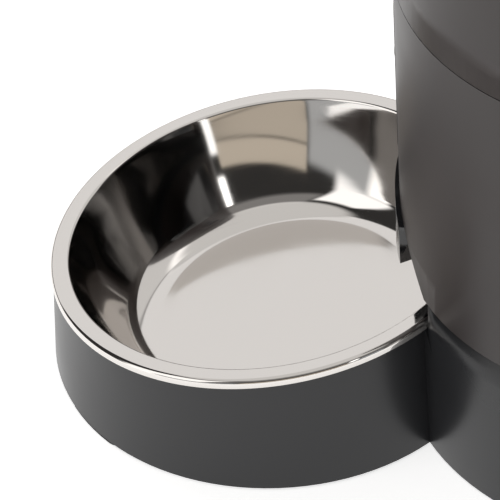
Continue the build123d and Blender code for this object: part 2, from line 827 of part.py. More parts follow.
with BuildPart() as chute:
    with BuildSketch(side_plane):
        Polygon(*chute_outline(0), align=None)
    extrude(amount=chute_half, both=True)
    with BuildSketch(tower_at(chamber_z - inner_deck_t)):
        with Locations((0, flange_y)):
            Rectangle(2 * (chute_half + chute_flange), chute_flange)
    extrude(amount=-chute_flange_t)
    with BuildSketch(tower_at(0)):
        Circle(chute_r)
    extrude(amount=chamber_z, mode=Mode.INTERSECT)
    add(front_relief.part, mode=Mode.SUBTRACT)
    add(chute_duct.part, mode=Mode.SUBTRACT)
    add(lip_space.part, mode=Mode.SUBTRACT)
    with BuildSketch(tower_at(chamber_z)):
        with Locations(*flange_spots):
            Circle(screw_r + 0.2)
    extrude(amount=-2 * inner_deck_t, mode=Mode.SUBTRACT)
    # sight holes of the infrared pair
    with BuildSketch(across(0)):
        with Locations((flange_y, sensor_z)):
            Circle(2.0)
    extrude(amount=chute_half, both=True, mode=Mode.SUBTRACT)
chute.part.label = "chute"
export_step(chute.part, "parts/chute.step")

with BuildPart() as chute_screws:
    with BuildSketch(tower_at(chamber_z - inner_deck_t - chute_flange_t)):
        with Locations(*flange_spots):
            Circle(screw_head_r)
    extrude(amount=-screw_head_t)
    with BuildSketch(tower_at(chamber_z - inner_deck_t - chute_flange_t)):
        with Locations(*flange_spots):
            Circle(screw_r - 0.1)
    extrude(amount=chute_flange_t + inner_deck_t)
chute_screws.part.label = "chute_screws"
export_step(chute_screws.part, "parts/chute_screws.step")

with BuildPart() as food_sensors:
    for side in (-1, 1):
        with BuildSketch(across(side * (chute_half + 0.05))):
            with Locations((flange_y, sensor_z)):
                RectangleRounded(11.0, 8.0, 1)
        extrude(amount=side * 5.0)
        with BuildSketch(across(side * (chute_half + 0.05))):
            with Locations((flange_y, sensor_z)):
                Circle(1.8)
        extrude(amount=-side * (chute_wall - 0.3))
food_sensors.part.label = "food_sensors"
export_step(food_sensors.part, "parts/food_sensors.step")

# ---------------------------------------------------------------- metering chamber

floor_top = chamber_z + chamber_floor
chamber_top = chamber_z + chamber_h
lug_spots = ring_spots(chamber_lug_r, (45, 135, 225, 315))
with BuildPart() as rotor_housing:
    with BuildSketch(tower_at(chamber_z)):
        Circle(chamber_r + chamber_wall)
    extrude(amount=chamber_h)
    with BuildSketch(tower_at(chamber_z)):
        with Locations(*lug_spots):
            Circle(lug_r)
        for angle in (45, 135):
            Rectangle(2 * chamber_lug_r, 2 * lug_r, rotation=angle)
    extrude(amount=3.0)
    with BuildSketch(tower_at(floor_top)):
        Circle(chamber_r)
    extrude(amount=chamber_h, mode=Mode.SUBTRACT)
    with BuildSketch(tower_at(chamber_z)):
        Circle(bush_r)
        with Locations(*lug_spots):
            Circle(screw_r + 0.2)
        with Locations((0, -(outlet_inner + outlet_r) / 2)):
            Rectangle(2 * outlet_half, outlet_r - outlet_inner)
    extrude(amount=chamber_floor + 1, mode=Mode.SUBTRACT)
rotor_housing.part.label = "rotor_housing"
export_step(rotor_housing.part, "parts/rotor_housing.step")

with BuildPart() as housing_screws:
    with BuildSketch(tower_at(chamber_z + 3.0)):
        with Locations(*lug_spots):
            Circle(screw_head_r)
    extrude(amount=screw_head_t)
    with BuildSketch(tower_at(chamber_z + 3.0)):
        with Locations(*lug_spots):
            Circle(screw_r - 0.1)
    extrude(amount=-9.0)
housing_screws.part.label = "housing_screws"
export_step(housing_screws.part, "parts/housing_screws.step")

# Disc over the chamber: open at the rear, closed over the outlet
with BuildPart() as chamber_cover:
    with BuildSketch(tower_at(chamber_top)):
        Circle(chamber_r + chamber_wall)
        with BuildLine():
            inlet_arc = CenterArc((0, 0), inlet_r, 90 - inlet_half, 2 * inlet_half)
            Line(inlet_arc @ 1, (0, 0))
            Line((0, 0), inlet_arc @ 0)
        make_face(mode=Mode.SUBTRACT)
        Circle(rotor_boss_r + 2 * slip, mode=Mode.SUBTRACT)
    extrude(amount=cover_disc_t)
chamber_cover.part.label = "chamber_cover"
export_step(chamber_cover.part, "parts/chamber_cover.step")

# ---------------------------------------------------------------- rotor and drive

rotor_low = floor_top + rotor_gap_low
rotor_high = chamber_top - rotor_gap_top
boss_top = chamber_top + rotor_boss_h
gear_top = chamber_z - inner_deck_t - gear_drop
gear_low = gear_top - gear_w
box_low = gear_low - box_floor - 1.0
shaft_low = box_low
shaft_top = boss_top - 1.0
vane_angles = [360 / vane_count * (i + 0.5) for i in range(vane_count)]


def shaft_hole():
    """Round hole with the flat of the drive shaft, a sketch of its own."""
    round_part = Circle(shaft_r + 0.02, mode=Mode.PRIVATE)
    flat_part = Rectangle(2 * shaft_r, 2 * shaft_r, mode=Mode.PRIVATE)
    return round_part & (Pos(0, -shaft_flat) * flat_part)


with BuildPart() as rotor:
    with BuildSketch(tower_at(rotor_low)):
        Circle(rotor_hub_r)
        for angle in vane_angles:
            with Locations(Location((0, 0, 0), (0, 0, angle))):
                with Locations((vane_r / 2, 0)):
                    Rectangle(vane_r, vane_t)
    extrude(amount=rotor_high - rotor_low)
    with BuildSketch(tower_at(rotor_high)):
        Circle(rotor_boss_r)
    extrude(amount=boss_top - rotor_high)
    with BuildSketch(tower_at(rotor_low)):
        add(shaft_hole())
    extrude(amount=shaft_top + 0.2 - rotor_low, mode=Mode.SUBTRACT)
rotor.part.label = "rotor"
export_step(rotor.part, "parts/rotor.step")

tip_len = chamber_r - tip_gap - vane_r
with BuildPart() as paddle_tips:
    with BuildSketch(tower_at(rotor_low)):
        for angle in vane_angles:
            with Locations(Location((0, 0, 0), (0, 0, angle))):
                with Locations((vane_r + tip_len / 2, 0)):
                    Rectangle(tip_len, tip_t)
    extrude(amount=rotor_high - rotor_low)
paddle_tips.part.label = "paddle_tips"
export_step(paddle_tips.part, "parts/paddle_tips.step")

with BuildPart() as agitator:
    with BuildSketch(tower_at(boss_top)):
        Circle(rotor_boss_r)
    extrude(amount=agitator_hub_h)
    fillet(agitator.edges().sort_by(Axis.Z)[-1], 1.5)
    for angle in (0, 180):
        way = Vector(cos(radians(angle)), sin(radians(angle)), 0)
        start = Vector(0, tower_y, boss_top + agitator_hub_h / 2) + way * (rotor_boss_r - 3)
        end = start + way * (agitator_reach - rotor_boss_r + 3) + Vector(0, 0, agitator_rise)
        with BuildSketch(Plane(origin=start, z_dir=end - start)):
            Circle(agitator_rod_r)
        extrude(amount=(end - start).length)
        with BuildSketch(Plane(origin=end, z_dir=end - start)):
            Circle(agitator_rod_r * 1.5)
        extrude(amount=3.0, both=True)
agitator.part.label = "agitator"
export_step(agitator.part, "parts/agitator.step")

with BuildPart() as drive_shaft:
    with BuildSketch(tower_at(shaft_low)):
        Circle(shaft_r)
    extrude(amount=shaft_top - shaft_low)
    with BuildSketch(tower_at(rotor_low)):
        with Locations((0, 2 * shaft_r - shaft_flat)):
            Rectangle(2 * shaft_r, 2 * shaft_r)
    extrude(amount=shaft_top - rotor_low, mode=Mode.SUBTRACT)
    with BuildSketch(tower_at(gear_low)):
        with Locations((0, 2 * shaft_r - shaft_flat)):
            Rectangle(2 * shaft_r, 2 * shaft_r)
    extrude(amount=gear_w, mode=Mode.SUBTRACT)
drive_shaft.part.label = "drive_shaft"
export_step(drive_shaft.part, "parts/drive_shaft.step")

with BuildPart() as shaft_bush:
    with BuildSketch(tower_at(chamber_z - inner_deck_t)):
        Circle(bush_r - 0.05)
        Circle(shaft_r + run_fit, mode=Mode.SUBTRACT)
    extrude(amount=inner_deck_t + chamber_floor)
shaft_bush.part.label = "shaft_bush"
export_step(shaft_bush.part, "parts/shaft_bush.step")


def gear_outline(teeth):
    """Points of a spur gear with involute flanks, a tooth centred on the sketch's own x axis."""
    pitch = module * teeth / 2
    base = pitch * cos(radians(pressure_angle))
    outer = pitch + module
    root = pitch - 1.25 * module
    start = max(base, root)
    involute = tan(radians(pressure_angle)) - radians(pressure_angle)
    half_tooth = pi / (2 * teeth) - backlash / (2 * pitch)
    flank = []
    for i in range(4):
        r = start + (outer - start) * i / 3
        spread = sqrt(max((r / base) ** 2 - 1, 0))
        flank.append((r, half_tooth + involute - (spread - atan2(spread, 1))))
    flank.insert(0, (root, flank[0][1]))
    points = []
    for tooth in range(teeth):
        centre = 2 * pi * tooth / teeth
        points += [(r * cos(centre - a), r * sin(centre - a)) for r, a in flank]
        points += [(r * cos(centre + a), r * sin(centre + a)) for r, a in reversed(flank)]
    return points


with BuildPart() as drive_gear:
    with BuildSketch(Plane(origin=(0, tower_y, gear_low), x_dir=(0, 1, 0))) as gear_face:
        Polygon(*gear_outline(gear_teeth), align=None)
        with PolarLocations(module * gear_teeth / 3.4, 5):
            Circle(module * gear_teeth / 12, mode=Mode.SUBTRACT)
    extrude(amount=gear_w)
    with BuildSketch(tower_at(gear_low)):
        add(shaft_hole())
    extrude(amount=gear_w, mode=Mode.SUBTRACT)
drive_gear.part.label = "drive_gear"
export_step(drive_gear.part, "parts/drive_gear.step")

half_pitch = Vector(cos(pi / pinion_teeth), sin(pi / pinion_teeth), 0)
with BuildPart() as pinion:
    with BuildSketch(
        Plane(origin=(0, tower_y + shaft_gap, gear_low), x_dir=(half_pitch.Y, -half_pitch.X, 0))
    ):
        Polygon(*gear_outline(pinion_teeth), align=None)
        Circle(motor_shaft_r, mode=Mode.SUBTRACT)
    extrude(amount=gear_w)
pinion.part.label = "pinion"
export_step(pinion.part, "parts/pinion.step")

motor_top = box_low - 0.05
with BuildPart() as motor_shaft:
    with BuildSketch(tower_at(motor_top - 0.3 * motor_len)):
        with Locations((0, shaft_gap)):
            Circle(motor_shaft_r)
    extrude(amount=gear_top - 0.5 - motor_top + 0.3 * motor_len)
motor_shaft.part.label = "motor_shaft"
export_step(motor_shaft.part, "parts/motor_shaft.step")

with BuildPart() as motor:
    with BuildSketch(tower_at(motor_top - motor_len)):
        with Locations((0, shaft_gap)):
            Circle(motor_r)
    extrude(amount=motor_len)
    fillet(motor.edges().group_by(Axis.Z)[0], 1.5)
    with BuildSketch(tower_at(motor_top)):
        with Locations((0, shaft_gap)):
            Circle(motor_boss_r)
    extrude(amount=box_floor)
    with BuildSketch(tower_at(motor_top - motor_len)):
        with Locations((-0.5 * motor_r, shaft_gap), (0.5 * motor_r, shaft_gap)):
            Rectangle(2.4, 0.8)
    extrude(amount=-2.5)
    with BuildSketch(tower_at(motor_top + box_floor)):
        with Locations((0, shaft_gap)):
            Circle(motor_shaft_r + run_fit)
    extrude(amount=-box_floor - 0.32 * motor_len, mode=Mode.SUBTRACT)
motor.part.label = "motor"
export_step(motor.part, "parts/motor.step")

box_top = chamber_z - inner_deck_t - 0.05
with BuildPart() as gearbox_cover:
    with BuildSketch(tower_at(box_low)):
        Circle(box_r + box_wall)
        with Locations((0, shaft_gap)):
            Circle(box_tail_r + box_wall)
        with Locations((0, shaft_gap / 2)):
            Rectangle(2 * (box_tail_r + box_wall), shaft_gap)
    extrude(amount=box_top - box_low)
    with BuildSketch(tower_at(box_top)):
        with Locations(*ear_spots):
            Circle(lug_r)
        Rectangle(2 * ear_r, 1.6 * lug_r)
        with Locations((0, ear_spots[2][1] / 2)):
            Rectangle(1.6 * lug_r, ear_spots[2][1])
    extrude(amount=-3.0)
    with BuildSketch(tower_at(box_low + box_floor)):
        Circle(box_r)
        with Locations((0, shaft_gap)):
            Circle(box_tail_r)
        with Locations((0, shaft_gap / 2)):
            Rectangle(2 * box_tail_r, shaft_gap)
    extrude(amount=box_top, mode=Mode.SUBTRACT)
    with BuildSketch(tower_at(box_low)):
        Circle(shaft_r + run_fit)
        with Locations((0, shaft_gap)):
            Circle(motor_boss_r + 0.05)
        with Locations(*ear_spots):
            Circle(screw_r + 0.2)
    extrude(amount=box_top - box_low, mode=Mode.SUBTRACT)
gearbox_cover.part.label = "gearbox_cover"
export_step(gearbox_cover.part, "parts/gearbox_cover.step")

with BuildPart() as gearbox_screws:
    with BuildSketch(tower_at(box_top - 3.0)):
        with Locations(*ear_spots):
            Circle(screw_head_r)
    extrude(amount=-screw_head_t)
    with BuildSketch(tower_at(box_top - 3.0)):
        with Locations(*ear_spots):
            Circle(screw_r - 0.1)
    extrude(amount=3.0 + inner_deck_t)
gearbox_screws.part.label = "gearbox_screws"
export_step(gearbox_screws.part, "parts/gearbox_screws.step")

# ---------------------------------------------------------------- control panel

buttons_at = [(feed_button_z, feed_button_r)] + [(z, small_button_r) for z in small_button_z]
panel_out_r = tower_r(panel_low) + panel_proud
post_z = (panel_low + 3.5, panel_high - 3.5)
post_r = 2.2

with BuildPart() as control_panel:
    with BuildSketch(tower_section):
        Polygon(
            (tower_r(panel_low) - panel_t, panel_low),
            (tower_r(panel_low) + panel_proud, panel_low),
            (tower_r(panel_high) + panel_proud, panel_high),
            (tower_r(panel_low) - panel_t, panel_high),
            align=None,
        )
    revolve(axis=tower_axis)
    with BuildSketch(front_at(0)):
        with Locations((0, (panel_low + panel_high) / 2)):
            RectangleRounded(2 * panel_half, panel_high - panel_low, 3)
    extrude(amount=base_r + 4 * wall, mode=Mode.INTERSECT)
    with BuildSketch(front_at(-board_front)):
        with Locations(*[(0, z) for z in post_z]):
            Circle(post_r)
    extrude(amount=board_back + panel_t / 2)
    with BuildSketch(front_at(-board_front)):
        with Locations((0, lens_z)):
            Rectangle(*lens_size)
        for z, r in buttons_at:
            with Locations((0, z)):
                Circle(r + apart)
    extrude(amount=4 * board_back, mode=Mode.SUBTRACT)
    with BuildSketch(front_at(-board_front)):
        with Locations(*[(0, z) for z in post_z]):
            Circle(screw_r / 2)
    extrude(amount=board_back - 1, mode=Mode.SUBTRACT)
control_panel.part.label = "control_panel"
export_step(control_panel.part, "parts/control_panel.step")

with BuildPart() as display_lens:
    with BuildSketch(front_at(-panel_in_r + 0.8)):
        with Locations((0, lens_z)):
            Rectangle(lens_size[0] - 0.1, lens_size[1] - 0.1)
    extrude(amount=2 * panel_t)
    with BuildSketch(front_at(-panel_in_r + 0.8)):
        with Locations((0, lens_z)):
            Rectangle(lens_size[0] + 2, lens_size[1] + 2)
    extrude(amount=0.7 - (panel_in_r - sqrt(panel_in_r**2 - (lens_size[0] / 2 + 1) ** 2)))
    with BuildSketch(tower_at(panel_low)):
        Circle(panel_out_r)
    extrude(amount=panel_high - panel_low, mode=Mode.INTERSECT)
display_lens.part.label = "display_lens"
export_step(display_lens.part, "parts/display_lens.step")


def push_button(z, r):
    """Cap with a retaining flange behind the panel and a stem over its switch."""
    tip = board_front + switch_t + button_travel + 0.2
    flange_back = panel_in_r - (r + button_flange) ** 2 / (2 * panel_in_r) - apart - 1.0
    with BuildPart() as button:
        with BuildSketch(front_at(-tip)):
            with Locations((0, z)):
                Circle(r / 2)
        extrude(amount=flange_back - tip)
        with BuildSketch(front_at(-flange_back)):
            with Locations((0, z)):
                Circle(r + button_flange)
        extrude(amount=1.0)
        with BuildSketch(front_at(-flange_back)):
            with Locations((0, z)):
                Circle(r)
        extrude(amount=panel_out_r + button_proud - flange_back)
        fillet(button.faces().sort_by(Axis.Y)[0].edges(), 0.5)
    return button.part


feed_button = push_button(feed_button_z, feed_button_r)
feed_button.label = "feed_button"
export_step(feed_button, "parts/feed_button.step")
up_button = push_button(small_button_z[0], small_button_r)
up_button.label = "up_button"
export_step(up_button, "parts/up_button.step")
down_button = push_button(small_button_z[1], small_button_r)
down_button.label = "down_button"
export_step(down_button, "parts/down_button.step")

with BuildPart() as main_board:
    with BuildSketch(front_at(-board_front + board_t)):
        with Locations((0, (board_low + board_high) / 2)):
            Rectangle(2 * board_half, board_high - board_low)
        with Locations(*[(0, z) for z in post_z]):
            Circle(screw_r / 2 + 0.2, mode=Mode.SUBTRACT)
    extrude(amount=board_t)
    with BuildSketch(front_at(-board_front)):
        for z, r in buttons_at:
            with Locations((0, z)):
                Rectangle(5.0, 5.0)
        with Locations((0, lens_z)):
            Rectangle(lens_size[0] - 3, lens_size[1] - 3)
    extrude(amount=switch_t)
main_board.part.label = "main_board"
export_step(main_board.part, "parts/main_board.step")

with BuildPart() as board_screws:
    with BuildSketch(front_at(-board_front + board_t + screw_head_t)):
        with Locations(*[(0, z) for z in post_z]):
            Circle(post_r)
    extrude(amount=screw_head_t)
    with BuildSketch(front_at(-board_front + board_t)):
        with Locations(*[(0, z) for z in post_z]):
            Circle(screw_r / 2 - 0.05)
    extrude(amount=board_t + board_back - 2.5)
board_screws.part.label = "board_screws"
export_step(board_screws.part, "parts/board_screws.step")

# ---------------------------------------------------------------- food tank

throat_z = chamber_top + cover_disc_t + throat_gap
skirt_low = tower_top - skirt_h + slip
tank_in_r = tower_r(tank_low) - tank_wall
funnel_high = throat_z + tank_in_r - throat_r
groove_top = tank_top - groove_low
seat_r = chamber_r + chamber_wall

with BuildPart() as tank:
    with BuildSketch(tower_section):
        Polygon(
            (throat_r, throat_z),
            (tank_in_r, funnel_high),
            (tower_r(tank_top - collar_h) - tank_wall, tank_top - collar_h - 4.0),
            (collar_r, tank_top - collar_h),
            (collar_r, groove_top - groove_h),
            (groove_r, groove_top - groove_h),
            (groove_r, groove_top),
            (collar_r, groove_top),
            (collar_r, tank_top),
            (tower_r(tank_top), tank_top),
            (tower_r(tank_low), tank_low),
            (skirt_r, tank_low),
            (skirt_r, skirt_low),
            (skirt_r - skirt_t, skirt_low),
            (skirt_r - skirt_t, throat_z + skirt_r - skirt_t - throat_r - funnel_t * sqrt(2)),
            (seat_r, throat_z + seat_r - throat_r - funnel_t * sqrt(2)),
            (seat_r, throat_z),
            align=None,
        )
    revolve(axis=tower_axis)
tank.part.label = "tank"
export_step(tank.part, "parts/tank.step")

with BuildPart() as tank_seal:
    with BuildSketch(tower_at(throat_z - throat_gap + apart)):
        Circle(seat_r)
        Circle(throat_r + 0.5, mode=Mode.SUBTRACT)
    extrude(amount=throat_gap - apart)
tank_seal.part.label = "tank_seal"
export_step(tank_seal.part, "parts/tank_seal.step")

# ---------------------------------------------------------------- lid

lid_r = tower_r(lid_low)
well_floor = lid_top - knob_well
liner_r = collar_r - liner_gap
liner_low = groove_top - groove_h - liner_edge_h - 0.5
liner_top = liner_low + liner_edge_h
roof_low = lid_top - lid_wall
liner_screw_spots = ring_spots(0.62 * liner_r, (45, 135, 225, 315))
bolt_low = liner_top + 0.8
bolt_high = bolt_low + bolt_t

with BuildPart() as lid:
    with BuildSketch(tower_section):
        Polygon(
            (lid_r - lid_wall, lid_low),
            (lid_r, lid_low),
            (lid_r, lid_top),
            (knob_well_r, lid_top),
            (knob_well_r, well_floor),
            (0, well_floor),
            (0, well_floor - lid_wall),
            (knob_well_r + lid_wall, well_floor - lid_wall),
            (knob_well_r + lid_wall, roof_low),
            (lid_r - lid_wall, roof_low),
            align=None,
        )
    revolve(axis=tower_axis)
    fillet(lid.edges().filter_by(GeomType.CIRCLE).group_by(Axis.Z)[-1].sort_by(SortBy.RADIUS)[-1], lid_edge)
    with BuildSketch(tower_at(roof_low)):
        with Locations(*liner_screw_spots):
            Circle(boss_r)
    extrude(amount=-(roof_low - liner_top))
    with BuildSketch(tower_at(liner_top)):
        with Locations(*liner_screw_spots):
            Circle(screw_r)
    extrude(amount=12.0, mode=Mode.SUBTRACT)
    with BuildSketch(tower_at(well_floor)):
        Circle(stem_r)
    extrude(amount=-lid_wall, mode=Mode.SUBTRACT)
lid.part.label = "lid"
export_step(lid.part, "parts/lid.step")

cup_top = liner_low - 1.0
cup_low = cup_top - cup_h
ring_in_r = cup_r + cup_lug + slip
ledge_t = 1.8
lug_top = cup_top - 2.0
with BuildPart() as lid_liner:
    with BuildSketch(tower_section):
        Polygon(
            (0, liner_top - liner_disc_t),
            (ring_in_r, liner_top - liner_disc_t),
            (ring_in_r + cup_ring_t, liner_low),
            (liner_r, liner_low),
            (liner_r, liner_low + 1.2),
            (liner_r - seal_inset, liner_low + 1.2),
            (liner_r - seal_inset, liner_low + 1.2 + seal_w),
            (liner_r, liner_low + 1.2 + seal_w),
            (liner_r, roof_low),
            (liner_r - liner_wall, roof_low),
            (liner_r - liner_wall, liner_top),
            (0, liner_top),
            align=None,
        )
    revolve(axis=tower_axis)
    # ring and ledges that hold the dry-pack cup
    ledge_high = lug_top - cup_lug_t - apart
    with BuildSketch(tower_at(ledge_high - ledge_t)):
        Circle(ring_in_r + cup_ring_t)
        Circle(ring_in_r, mode=Mode.SUBTRACT)
    extrude(amount=liner_top - 1 - ledge_high + ledge_t)
    with BuildSketch(tower_at(ledge_high - ledge_t)):
        for angle in (0, 120, 240):
            with BuildLine():
                arc = CenterArc((0, 0), ring_in_r + 1, angle - ledge_angle / 2, ledge_angle)
                Line(arc @ 1, (0, 0))
                Line((0, 0), arc @ 0)
            make_face()
        Circle(cup_r + slip, mode=Mode.SUBTRACT)
    extrude(amount=ledge_t)
    # rails beside the lock bolts and windows for their ends
    with BuildSketch(tower_at(liner_top)):
        for side in (-1, 1):
            for edge in (-1, 1):
                with Locations((side * 0.62 * liner_r, edge * (bolt_w / 2 + apart + 1.0))):
                    Rectangle(0.4 * liner_r, 2.0)
    extrude(amount=bolt_t)
    for side in (-1, 1):
        with BuildSketch(across(side * (liner_r - 3 * liner_wall))):
            with Locations((0, (bolt_low + bolt_high) / 2)):
                Rectangle(bolt_w + 2 * apart, bolt_t + 2 * apart)
        extrude(amount=side * 4 * liner_wall, mode=Mode.SUBTRACT)
    with BuildSketch(tower_at(liner_low)):
        with Locations(*liner_screw_spots):
            Circle(screw_r + 0.2)
    extrude(amount=2 * liner_edge_h, mode=Mode.SUBTRACT)
lid_liner.part.label = "lid_liner"
export_step(lid_liner.part, "parts/lid_liner.step")

with BuildPart() as liner_screws:
    with BuildSketch(tower_at(liner_low)):
        with Locations(*liner_screw_spots):
            Circle(screw_head_r)
    extrude(amount=-screw_head_t)
    with BuildSketch(tower_at(liner_low)):
        with Locations(*liner_screw_spots):
            Circle(screw_r - 0.1)
    extrude(amount=liner_edge_h + 9.0)
liner_screws.part.label = "liner_screws"
export_step(liner_screws.part, "parts/liner_screws.step")

with BuildPart() as lid_seal:
    with BuildSketch(tower_at(liner_low + 1.25)):
        Circle(collar_r - apart)
        Circle(liner_r - seal_inset + 0.05, mode=Mode.SUBTRACT)
    extrude(amount=seal_w - 0.1)
lid_seal.part.label = "lid_seal"
export_step(lid_seal.part, "parts/lid_seal.step")

# Lock: a knob in the lid's well turns a cam whose spiral slots drive the two bolts
cam_high = well_floor - lid_wall - 0.5
cam_low = cam_high - cam_t
stem_step = 2.0
with BuildPart() as lock_knob:
    with BuildSketch(tower_at(well_floor + 0.4)):
        Circle(knob_well_r - 1.5)
    extrude(amount=knob_disc_t)
    with BuildSketch(tower_at(well_floor + 0.4 + knob_disc_t)):
        SlotOverall(knob_bar[0], knob_bar[1], rotation=90)
    extrude(amount=knob_bar[2], taper=6)
    fillet(lock_knob.faces().sort_by(Axis.Z)[-1].edges(), 1.5)
    with BuildSketch(tower_at(cam_high)):
        Circle(stem_r - run_fit)
    extrude(amount=well_floor + 0.4 - cam_high)
    with BuildSketch(tower_at(cam_low)):
        RegularPolygon(stem_r - stem_step, 6)
    extrude(amount=cam_t)
    with BuildSketch(tower_at(cam_low)):
        Circle(screw_r - 0.2)
    extrude(amount=9.0, mode=Mode.SUBTRACT)
lock_knob.part.label = "lock_knob"
export_step(lock_knob.part, "parts/lock_knob.step")


def spiral(share, start):
    """Point on a cam slot's centre line, from the pin's inner place (0) to its outer place (1)."""
    angle = radians(start - share * lock_turn)
    r = lock_pin_at + share * lock_travel
    return (r * cos(angle), r * sin(angle))


cam_slots = []
for start in (0, 180):
    cam_slots.append(Edge.make_three_point_arc(spiral(0, start), spiral(0.5, start), spiral(1, start)))

with BuildPart() as lock_cam:
    with BuildSketch(tower_at(cam_low)):
        Circle(cam_r)
        RegularPolygon(stem_r - stem_step + 0.05, 6, mode=Mode.SUBTRACT)
        for slot in cam_slots:
            SlotArc(slot, 2 * (lock_pin_r + apart), mode=Mode.SUBTRACT)
    extrude(amount=cam_t)
lock_cam.part.label = "lock_cam"
export_step(lock_cam.part, "parts/lock_cam.step")

with BuildPart() as knob_screw:
    with BuildSketch(tower_at(cam_low)):
        Circle(stem_r - 1.0)
    extrude(amount=-screw_head_t)
    with BuildSketch(tower_at(cam_low)):
        Circle(screw_r - 0.25)
    extrude(amount=8.0)
knob_screw.part.label = "knob_screw"
export_step(knob_screw.part, "parts/knob_screw.step")


def lock_bolt(side):
    """Flat bolt of the lid lock with its cam pin, on one side of the lid."""
    outer = collar_r - 2 * slip
    with BuildPart() as bolt:
        with BuildSketch(tower_at(bolt_low)):
            with Locations((side * (bolt_inner + outer) / 2, 0)):
                RectangleRounded(outer - bolt_inner, bolt_w, 1)
        extrude(amount=bolt_t)
        with BuildSketch(tower_at(bolt_high)):
            with Locations((side * lock_pin_at, 0)):
                Circle(lock_pin_r)
        extrude(amount=cam_high - 0.4 - bolt_high)
    return bolt.part


bolt_right = lock_bolt(1)
bolt_right.label = "bolt_right"
export_step(bolt_right, "parts/bolt_right.step")
bolt_left = lock_bolt(-1)
bolt_left.label = "bolt_left"
export_step(bolt_left, "parts/bolt_left.step")

with BuildPart() as desiccant_box:
    with BuildSketch(tower_at(cup_low)):
        Circle(cup_r)
    extrude(amount=cup_h)
    with BuildSketch(tower_at(lug_top - cup_lug_t)):
        for angle in (0, 120, 240):
            with BuildLine():
                arc = CenterArc((0, 0), cup_r + cup_lug, angle - cup_lug_angle / 2, cup_lug_angle)
                Line(arc @ 1, (0, 0))
                Line((0, 0), arc @ 0)
            make_face()
    extrude(amount=cup_lug_t)
    with BuildSketch(tower_at(cup_low + cup_wall)):
        Circle(cup_r - cup_wall)
    extrude(amount=cup_h, mode=Mode.SUBTRACT)
    with BuildSketch(tower_at(cup_low)):
        with PolarLocations(0.6 * cup_r, 10):
            SlotOverall(0.45 * cup_r, 2.4)
    extrude(amount=cup_wall, mode=Mode.SUBTRACT)
desiccant_box.part.label = "desiccant_box"
export_step(desiccant_box.part, "parts/desiccant_box.step")

with BuildPart() as desiccant_pack:
    with BuildSketch(tower_at(cup_low + cup_wall + 0.1)):
        Circle(cup_r - 2 * cup_wall)
    extrude(amount=cup_h - 2 * cup_wall - 3)
    fillet(desiccant_pack.edges(), 2.0)
desiccant_pack.part.label = "desiccant_pack"
export_step(desiccant_pack.part, "parts/desiccant_pack.step")
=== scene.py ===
"""Looks and studio of an automatic pet feeder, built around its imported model.

The steel bowl is a surface of revolution worked out here. The moulded housings are smoothed twins of
their solids, and every other solid keeps its mesh and gets a finish.
"""
import json
import logging
import math
from dataclasses import dataclass
from enum import Enum

import bpy
import numpy as np
from mathutils import Matrix, Vector

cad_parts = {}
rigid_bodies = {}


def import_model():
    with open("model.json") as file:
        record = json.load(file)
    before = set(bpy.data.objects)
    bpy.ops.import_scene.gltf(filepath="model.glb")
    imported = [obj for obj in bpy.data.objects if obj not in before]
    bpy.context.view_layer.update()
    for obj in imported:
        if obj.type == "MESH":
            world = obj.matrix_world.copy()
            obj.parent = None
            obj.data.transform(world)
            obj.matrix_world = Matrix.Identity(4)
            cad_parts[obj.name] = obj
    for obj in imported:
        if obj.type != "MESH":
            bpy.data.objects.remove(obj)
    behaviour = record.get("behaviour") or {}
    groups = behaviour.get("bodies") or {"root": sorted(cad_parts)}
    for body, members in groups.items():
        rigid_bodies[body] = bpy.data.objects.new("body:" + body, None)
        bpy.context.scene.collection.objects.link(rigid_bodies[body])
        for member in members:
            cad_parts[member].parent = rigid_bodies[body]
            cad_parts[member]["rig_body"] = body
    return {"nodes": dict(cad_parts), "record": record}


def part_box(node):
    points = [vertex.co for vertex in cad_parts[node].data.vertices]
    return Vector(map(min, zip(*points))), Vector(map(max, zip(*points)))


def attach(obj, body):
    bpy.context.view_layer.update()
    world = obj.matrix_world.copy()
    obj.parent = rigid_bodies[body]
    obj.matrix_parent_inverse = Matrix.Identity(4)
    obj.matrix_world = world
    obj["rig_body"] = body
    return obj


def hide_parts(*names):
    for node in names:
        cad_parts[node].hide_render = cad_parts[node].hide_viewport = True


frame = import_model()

log = logging.getLogger("feeder")
MM = 0.001
WELD_REACH = 0.002 * MM  # corners nearer than this are one corner
Colour = tuple[float, float, float]


class Grain(Enum):
    """How the surface of a moulding or a metal is worked."""

    SPARK = "spark"  # fine spark-eroded mould texture
    POLISH = "polish"  # smooth mould or polished metal
    WOVEN = "woven"  # paper or cloth fibres
    TURNED = "turned"  # fine lines of a lathe or a die


# ------------------------------------------------------------------ node helpers


